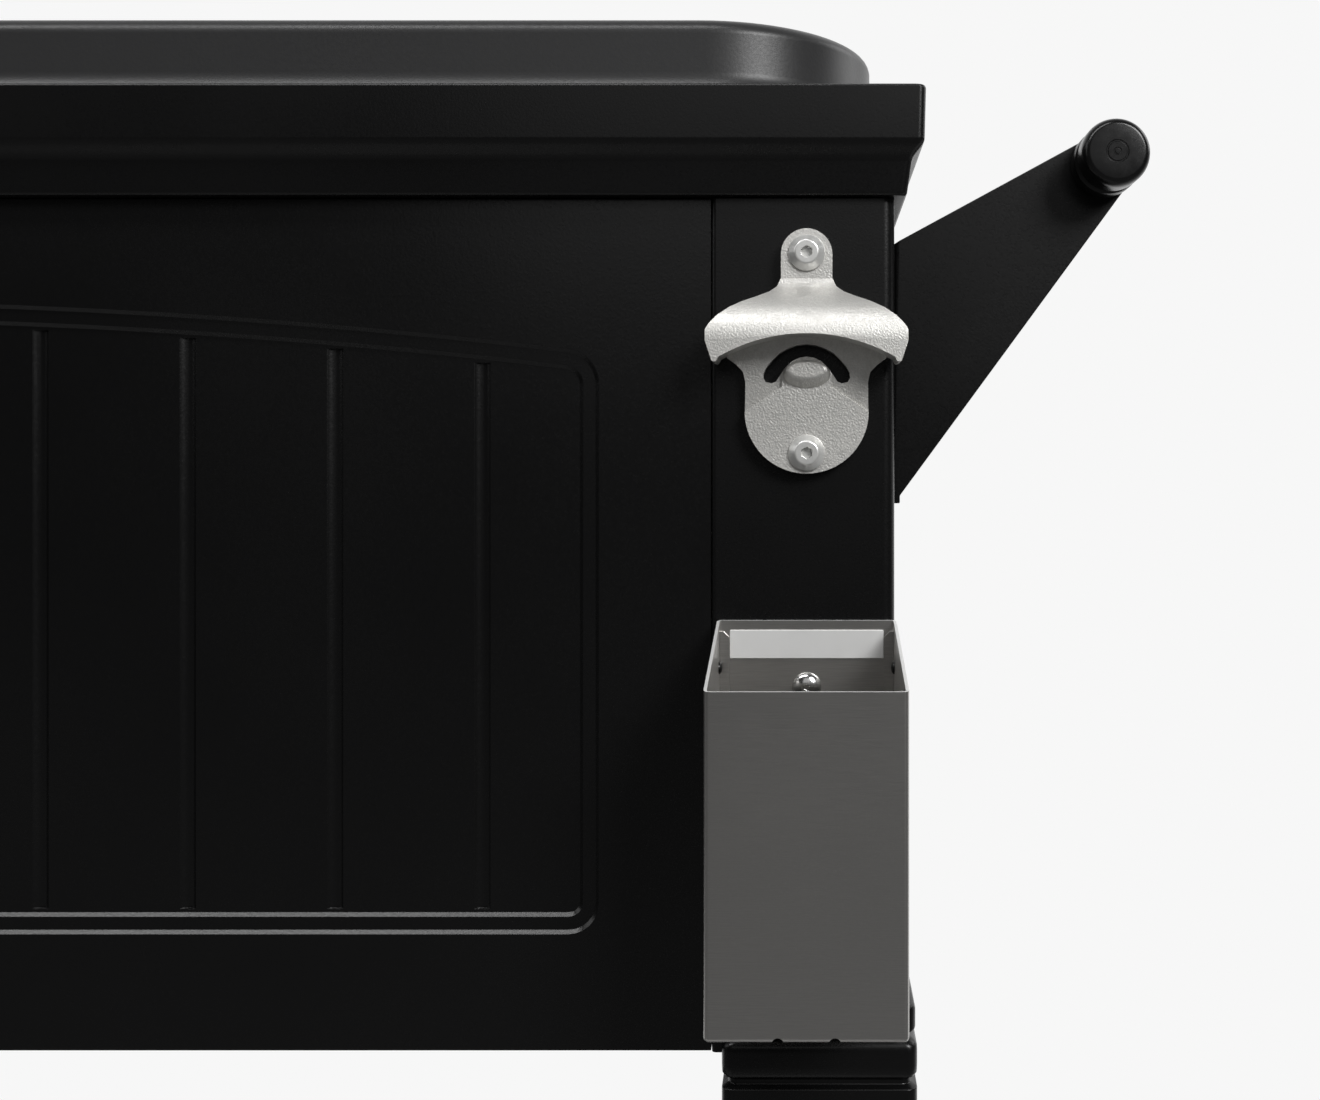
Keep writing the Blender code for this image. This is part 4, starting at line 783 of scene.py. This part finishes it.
length = grip["length"]
knobSection = [(0.0110, 0), (0.0117, 0.0006), (0.0120, 0.0014), (0.0120, length - 0.0168),
               (0.0117, length - 0.0159), (0.0111, length - 0.0155), (0.0098, length - 0.0151),
               (0.0095, length - 0.0145), (0.0095, length - 0.0131), (0.0099, length - 0.0126),
               (0.0110, length - 0.0121), (0.0116, length - 0.0113), (0.0119, length - 0.0100),
               (0.0119, length - 0.0036), (0.0116, length - 0.0022), (0.0110, length - 0.0010),
               (0.0101, length - 0.0003), (0.0092, length), (0.0040, length), (0.0038, length - 0.0003),
               (0.0034, length - 0.0003), (0.0032, length), (0.0014, length), (0.0012, length - 0.0002),
               (0.0009, length - 0.0002), (0.0008, length)]
knob = turnPiece("frontGripEnd", at(grip["x"], -grip["web"] - 0.0003, grip["z"]), (0, -1, 0), knobSection, 72)
soften(knob, 0)
webY = -grip["web"]
bracket = addDisc("frontBracket", at(grip["x"], webY, grip["z"]), grip["tip"], (0, -1, 0), 64)
edit(bracket)
extrudeBy((0, grip["sheet"], 0))
bpy.ops.object.mode_set(mode="OBJECT")
joinTo(bracket, addBlock("root", at(grip["base"], webY, grip["low"]),
                         at(grip["base"] + 0.001, webY + grip["sheet"], grip["high"])))
edit(bracket)
bpy.ops.mesh.convex_hull()
bpy.ops.mesh.dissolve_limited(angle_limit=radians(1))
closeUp()
combine(bracket, addBlock("flange", at(grip["base"], webY, grip["low"]),
                          at(grip["base"] + grip["sheet"], webY + grip["flange"], grip["high"])), "UNION")
edit(bracket)
pick(bracket, "EDGE", lambda place, way: abs(way.z) > 0.05 and place.x < middle.x + grip["base"] + 0.0001
     and place.y < middle.y + webY + 0.0001)
bpy.ops.mesh.bevel(offset=grip["bend"], segments=8, affect="EDGES", clamp_overlap=False)
closeUp()
soften(bracket, 0.0004, 3, clamp=False)
boltSection = [(0.0020, -0.0085), (0.0020, 0), (0.0050, 0), (0.0049, 0.0009), (0.0042, 0.0019),
               (0.0029, 0.0027), (0.0012, 0.0030)]
bolts = [turnPiece(f"frontBolt_{level}", at(grip["base"] + grip["sheet"] + 0.0003, webY + 0.018, height),
                   (1, 0, 0), boltSection, 40) for level, height in zip(("lower", "upper"), grip["bolts"])]
for bolt in bolts:
    soften(bolt, 0)
for model, part, slot, look, node in (
        (knob, "GripEnd", "black_frame", "glossEnamel", "handle_end_{}"),
        (bracket, "Bracket", "black_frame", "frameEnamel", "handle_bracket_{}"),
        (bolts[0], "Bolt_lower", "black_frame", "glossEnamel", "bracket_bolt_{}_lower"),
        (bolts[1], "Bolt_upper", "black_frame", "glossEnamel", "bracket_bolt_{}_upper")):
    copy = copyTurned(model, f"rear{part}", mirror=True)
    finishPiece(copy, "chest", slot, finish[look], node.format("rear"))
    finishPiece(model, "chest", slot, finish[look], node.format("front"))
print("push handle made")


# bottle opener, cast in one piece

opener = {"x": 0.3658, "back": -0.2003, "front": -0.2052, "disc": (0.2190, 0.0210), "tab": (0.0087, 0.2810),
          "lip": 0.0200, "lipArc": (0.1857, 0.0585), "inside": -0.2040, "tilt": 5, "lugZ": 0.2314,
          "lugRadius": 0.0083, "lugSquash": 0.6, "tongue": (0.0084, 0.2258), "crease": 0.2420,
          "screws": (0.2050, 0.2727), "screwSeat": -0.2055}
centreX = middle.x + opener["x"]


def drawnAt(points):
    return [(centreX + x, middle.z + z) for x, z in points]


def mirrored(points):
    return points + [(-x, z) for x, z in reversed(points) if abs(x) > 0.0001]


discZ, discRadius = opener["disc"]
tabHalf, tabTop = opener["tab"]
plateSide = [*arcPoints((0, discZ), discRadius, -90, 5, 20), (0.0208, 0.2290), (0.0216, 0.2325),
             (0.0242, 0.2352), (0.0270, 0.2372), (0.0290, 0.2420), (0.0260, 0.2510), (0.0200, 0.2558),
             (0.0125, 0.2592), (0.0098, 0.2606), (tabHalf, 0.2625),
             *arcPoints((0, tabTop - tabHalf), tabHalf, 0, 90, 12)]
slot = [(0, 0.2418), (0.0034, 0.2414), (0.0064, 0.2403), (0.0092, 0.2387), (0.0115, 0.2365), (0.0134, 0.2343),
        (0.0146, 0.2322), (0.0147, 0.2304), (0.0139, 0.2290), (0.0118, 0.2286), (0.0104, 0.2292),
        (0.0094, 0.2308), (0.0080, 0.2327), (0.0066, 0.2345), (0.0048, 0.2361), (0.0025, 0.2372), (0, 0.2376)]
faceY = middle.y + opener["front"]
openerPlate = drawnPlate("bottleOpener", drawnAt(mirrored(plateSide)), faceY, middle.y + opener["back"],
                         [drawnAt(mirrored(slot))])
arcZ, arcRadius = opener["lipArc"]
lipSide = [(x, arcZ + sqrt(arcRadius ** 2 - x ** 2)) for x in [0.029 * i / 12 for i in range(13)]]
wing = [(0.0297, 0.2352), (0.0303, 0.2348), (0.0312, 0.2352), (0.0334, 0.2418), (0.0334, 0.2455),
        (0.0322, 0.2475), (0.0296, 0.2504), (0.0255, 0.2534), (0.0212, 0.2556), (0.0165, 0.2574),
        (0.0125, 0.2592), (0.0100, 0.2612), (0.0088, 0.2640)]
hood = drawnPlate("hood", drawnAt(mirrored(lipSide + wing)), middle.y + post["y"] - opener["lip"],
                  middle.y + opener["inside"])
awning = [(0.0040, 0.2300), (0.0040, 0.2650), (0.0052, 0.2645), (0.0056, 0.2624), (0.0072, 0.2606),
          (0.0092, 0.2590), (0.0114, 0.2572), (0.0136, 0.2552), (0.0156, 0.2531), (0.0174, 0.2508),
          (0.0188, 0.2485), (0.0197, 0.2462), (opener["lip"], 0.2440), (opener["lip"], 0.2300)]
awning = [(middle.y + post["y"] - forward, middle.z + height) for forward, height in awning]
sideView = drawnPlate("awning", awning, -centreX - 0.05, -centreX + 0.05)
sideView.matrix_world = Matrix.Rotation(pi / 2, 4, "Z")  # from the front view to the side view
useOnly(sideView)
bpy.ops.object.transform_apply()
combine(hood, sideView, "INTERSECT")
combine(openerPlate, hood, "UNION")
lugPlace = (centreX, middle.y + opener["inside"], middle.z + opener["lugZ"])
lug = addDisc("lug", lugPlace, opener["lugRadius"], (0, -1, 0), 48)
edit(lug)
bpy.ops.transform.resize(value=(1, 1, opener["lugSquash"]), center_override=lugPlace)
for forward, wide, tall, rise in ((0.0016, 0.98, 0.94, 0.0003), (0.0016, 0.95, 0.86, 0.0005),
                                  (0.0012, 0.90, 0.80, 0.0005), (0.0006, 0.82, 0.74, 0.0003)):
    bpy.ops.mesh.extrude_region_move(TRANSFORM_OT_translate={"value": (0, -forward, rise)})
    bpy.ops.transform.resize(value=(wide, 1, tall))
closeUp()
combine(openerPlate, lug, "UNION")
recessSide = [(0.0088, 0.2272), (0.0230, 0.2176), (0.0230, 0.2330), (0.0205, 0.2390), (0.0100, 0.2425)]
recess = drawnPlate("recess", drawnAt(mirrored(recessSide)), faceY - 0.004, faceY)
pivot = Vector((centreX, faceY, middle.z + opener["crease"]))
recess.matrix_world = (Matrix.Translation(pivot) @ Matrix.Rotation(radians(opener["tilt"]), 4, "X")
                       @ Matrix.Translation(-pivot))
useOnly(recess)
bpy.ops.object.transform_apply()
tongueHalf, tongueLow = opener["tongue"]  # the tongue over the lug stays uncut
combine(recess, addBlock("tongue", (centreX - tongueHalf, faceY - 0.01, middle.z + tongueLow),
                         (centreX + tongueHalf, faceY + 0.01, middle.z + 0.25)))
combine(openerPlate, recess)
for height in opener["screws"]:
    combine(openerPlate, turnPiece("screwRoom", at(opener["x"], -0.22, height), (0, 1, 0),
                                   [(0.0028, 0), (0.0028, 0.03)], 32))
soften(openerPlate, 0.0007, 3, 28, 40)
finishPiece(openerPlate, "chest", "cast_silver", finish["castMetal"], "bottle_opener")

seat = at(opener["x"], opener["screwSeat"], opener["screws"][0])
screw = turnPiece("openerScrew_lower", seat, (0, -1, 0),
                  [(0.0025, -0.0100), (0.0025, 0), (0.0062, 0), (0.0062, 0.0004), (0.0060, 0.0008),
                   (0.0042, 0.0027), (0.0039, 0.0029), (0.0035, 0.0030)], 56)
combine(screw, turnPiece("hexSocket", seat, (0, -1, 0), [(0.0021, 0.0010), (0.0021, 0.0050)], 6))
soften(screw, 0.00012, 2, 50)
upperScrew = copyTurned(screw, "openerScrew_upper")
upperScrew.data.transform(Matrix.Translation((0, 0, opener["screws"][1] - opener["screws"][0])))
for piece, level in ((screw, "lower"), (upperScrew, "upper")):
    finishPiece(piece, "chest", "brushed_stainless", finish["screwSteel"], f"opener_screw_{level}")
print("opener made")


# cap catcher, a folded box of thin sheet

catcher = {"half": 0.0306, "near": -0.2003, "far": -0.2643, "low": 0.0296, "front": 0.1339, "back": 0.1479,
           "sheet": 0.001, "fold": 0.0016, "screw": 0.1253, "drains": (-0.0085, 0.0085),
           "drainRadius": 0.0017, "tab": 0.0033, "tabBelow": 0.0036, "tabChamfer": 0.0020, "rivet": 0.1325,
           "backing": (0.0262, 0.1350, 0.1447)}
left, right = centreX - catcher["half"], centreX + catcher["half"]
nearY, farY = middle.y + catcher["near"], middle.y + catcher["far"]
box = addBlock("capCatcher", (left, farY, middle.z + catcher["low"]), (right, nearY, middle.z + 0.16))
edit(box)
pick(box, "EDGE", lambda place, way: abs(way.z) > 0.05 or place.z < middle.z + catcher["low"] + 0.0001)
bpy.ops.mesh.bevel(offset=catcher["fold"], segments=5, affect="EDGES")
bpy.ops.mesh.select_mode(type="FACE")
bpy.ops.mesh.select_all(action="SELECT")
rise = catcher["back"] - catcher["front"]
bpy.ops.mesh.bisect(plane_co=(centreX, nearY, middle.z + catcher["back"]),
                    plane_no=Vector((0, -rise, nearY - farY)).normalized(), clear_outer=True)
bpy.ops.object.mode_set(mode="OBJECT")
useModifier(box, "SOLIDIFY", thickness=catcher["sheet"], offset=-1, use_even_offset=True)
for x in catcher["drains"]:
    combine(box, turnPiece("drainNotch", (centreX + x, farY - 0.01, middle.z + catcher["low"]), (0, 1, 0),
                           [(catcher["drainRadius"], 0), (catcher["drainRadius"], 0.016)], 24))
combine(box, turnPiece("screwRoom", at(opener["x"], -0.21, catcher["screw"]), (0, 1, 0),
                       [(0.0022, 0), (0.0022, 0.02)], 24))
soften(box, 0.00025, 2, 40)
finishPiece(box, "chest", "brushed_stainless", finish["brushedSteel"], "cap_catcher")
box.data.materials.append(finish["brightPlate"])  # painted highlight: the upward rim faces get a pale finish that stands in for top light on the rim
for face in box.data.polygons:
    if face.normal.z > 0.3 and face.center.z > middle.z + catcher["front"] - 0.0020:
        face.material_index = 1

inside = catcher["half"] - catcher["sheet"]
for side, name in ((-1, "left"), (1, "right")):
    tabLow, tabHigh = middle.z + catcher["low"] + 0.006, middle.z + catcher["back"] - catcher["tabBelow"]
    outerX, innerX = centreX + side * inside, centreX + side * (inside - catcher["tab"])
    tab = addBlock(f"catcherTab_{name}", (min(outerX, innerX), nearY - 0.0020, tabLow),
                   (max(outerX, innerX), nearY - 0.0010, tabHigh))
    edit(tab)
    pick(tab, "EDGE", lambda place, way: abs(way.y) > 0.0005 and place.z > tabHigh - 0.0001
         and abs(place.x - innerX) < 0.0001)
    bpy.ops.mesh.bevel(offset=catcher["tabChamfer"], segments=1, affect="EDGES")
    closeUp()
    soften(tab, 0.0002, 2)
    finishPiece(tab, "chest", "brushed_stainless", finish["brushedSteel"])
    rivet = turnPiece(f"catcherRivet_{name}", (outerX, nearY - 0.0062, middle.z + catcher["rivet"]),
                      (-side, 0, 0), [(0.0022, 0), (0.0021, 0.0004), (0.0015, 0.0009), (0.0006, 0.0011)], 28)
    soften(rivet, 0)
    finishPiece(rivet, "chest", "brushed_stainless", finish["glossEnamel"])
# painted reflection: the strip against the catcher's back wall gets the pale plate finish, standing in for a
# bright reflection there
backHalf, backLow, backHigh = catcher["backing"]
backing = addBlock("catcherBacking", (centreX - backHalf, nearY - 0.0018, middle.z + backLow),
                   (centreX + backHalf, nearY - catcher["sheet"], middle.z + backHigh))
soften(backing, 0.0003, 2)
finishPiece(backing, "chest", "brushed_stainless", finish["brightPlate"])
seat = at(opener["x"], catcher["near"] - catcher["sheet"] - 0.0003, catcher["screw"])
dome = turnPiece("catcherScrew", seat, (0, -1, 0),
                 [(0.0018, -0.0062), (0.0018, 0), (0.0050, 0), (0.0049, 0.0006), (0.0044, 0.0013),
                  (0.0035, 0.0019), (0.0023, 0.0023), (0.0009, 0.0024)], 48)
combine(dome, turnPiece("dimple", seat, (0, -1, 0), [(0.0011, 0.0012), (0.0011, 0.0040)], 6))
soften(dome, 0.0001, 1, 50)
finishPiece(dome, "chest", "brushed_stainless", finish["polishedSteel"], "catcher_screw")
print("catcher made")


# studio and camera

studio = {"floorRadius": 0.75, "camera": (0.33235, -0.65285, 0.7876), "lens": 38.28,
          "shift": (-0.1129, -0.0682), "worldFront": 0.04, "worldBack": 0.93,
          "lowFront": 0.11, "depthEdges": (-0.05, 0.70), "lowEdges": (-0.05, -0.60), "aim": (0.25, 0, 0.8),
          "lights": {"frontLight": ((1.7, -2.1, 2.2), (1.0, 1.0), 60),
                     "rightLight": ((2.3, 0.8, 2.0), (1.2, 1.2), 9),
                     "topStrip": ((-0.4, -0.90, 2.35), (1.7, 0.35), 15),
                     "leftLight": ((-2.4, -0.5, 1.9), (1.4, 1.4), 8),
                     "frontPanel": ((0.3, -3.0, 2.0), (1.6, 1.6), 3.5)}}

deselectAll()
bpy.ops.mesh.primitive_circle_add(vertices=160, radius=studio["floorRadius"], fill_type="NGON")
floor = bpy.context.object
floor.name = "studioFloor"
floor.data.materials.append(makeFinish("paleFloor", {
    "colour": (0.32, 0.32, 0.32), "other": (0.30, 0.30, 0.30), "rough": (0.75, 0.85), "grain": 40,
    "depth": 0.0001, "patch": 1.5}))

world = bpy.data.worlds.new("studioWorld")
bpy.context.scene.world = world
world.use_nodes = True
nodes, links = world.node_tree.nodes, world.node_tree.links
background = nodes["Background"]
background.inputs["Color"].default_value = (1, 1, 1, 1)
coordinates = nodes.new("ShaderNodeTexCoord")
axes = nodes.new("ShaderNodeSeparateXYZ")
links.new(coordinates.outputs["Generated"], axes.inputs["Vector"])
depthRange = nodes.new("ShaderNodeMapRange")  # dim in front of the object, bright behind it
depthStart, depthEnd = studio["depthEdges"]
depthRange.inputs["From Min"].default_value = depthStart
depthRange.inputs["From Max"].default_value = depthEnd
depthRange.inputs["To Min"].default_value = studio["worldFront"]
depthRange.inputs["To Max"].default_value = studio["worldBack"]
links.new(axes.outputs["Y"], depthRange.inputs["Value"])
lowRange = nodes.new("ShaderNodeMapRange")  # some light from low down
lowRange.inputs["From Min"].default_value, lowRange.inputs["From Max"].default_value = studio["lowEdges"]
lowRange.inputs["To Max"].default_value = studio["lowFront"]
links.new(axes.outputs["Z"], lowRange.inputs["Value"])
sky = nodes.new("ShaderNodeMath")
links.new(depthRange.outputs["Result"], sky.inputs[0])
links.new(lowRange.outputs["Result"], sky.inputs[1])
path = nodes.new("ShaderNodeLightPath")
seen = nodes.new("ShaderNodeMix")  # evenly bright where the camera sees it
seen.inputs["B"].default_value = studio["worldBack"]
links.new(path.outputs["Is Camera Ray"], seen.inputs["Factor"])
links.new(sky.outputs["Value"], seen.inputs["A"])
links.new(seen.outputs["Result"], background.inputs["Strength"])

for name, (place, size, power) in studio["lights"].items():
    deselectAll()
    bpy.ops.object.light_add(type="AREA", location=place)
    lamp = bpy.context.object
    lamp.name = name
    lamp.data.shape, lamp.data.energy = "RECTANGLE", power
    lamp.data.size, lamp.data.size_y = size
    aim = Vector(studio["aim"])
    if name == "topStrip":  # runs along the chest's front
        aim.x = place[0]
    lamp.rotation_euler = (aim - Vector(place)).to_track_quat("-Z", "Y").to_euler()

cameraData = bpy.data.cameras.new("studioCamera")
camera = bpy.data.objects.new("studioCamera", cameraData)
bpy.context.scene.collection.objects.link(camera)
camera.location = studio["camera"]
camera.rotation_euler = (pi / 2, 0, 0)
cameraData.lens = studio["lens"]
cameraData.shift_x, cameraData.shift_y = studio["shift"]
bpy.context.scene.camera = camera
bpy.context.scene.view_settings.view_transform = "Standard"
print("studio ready")
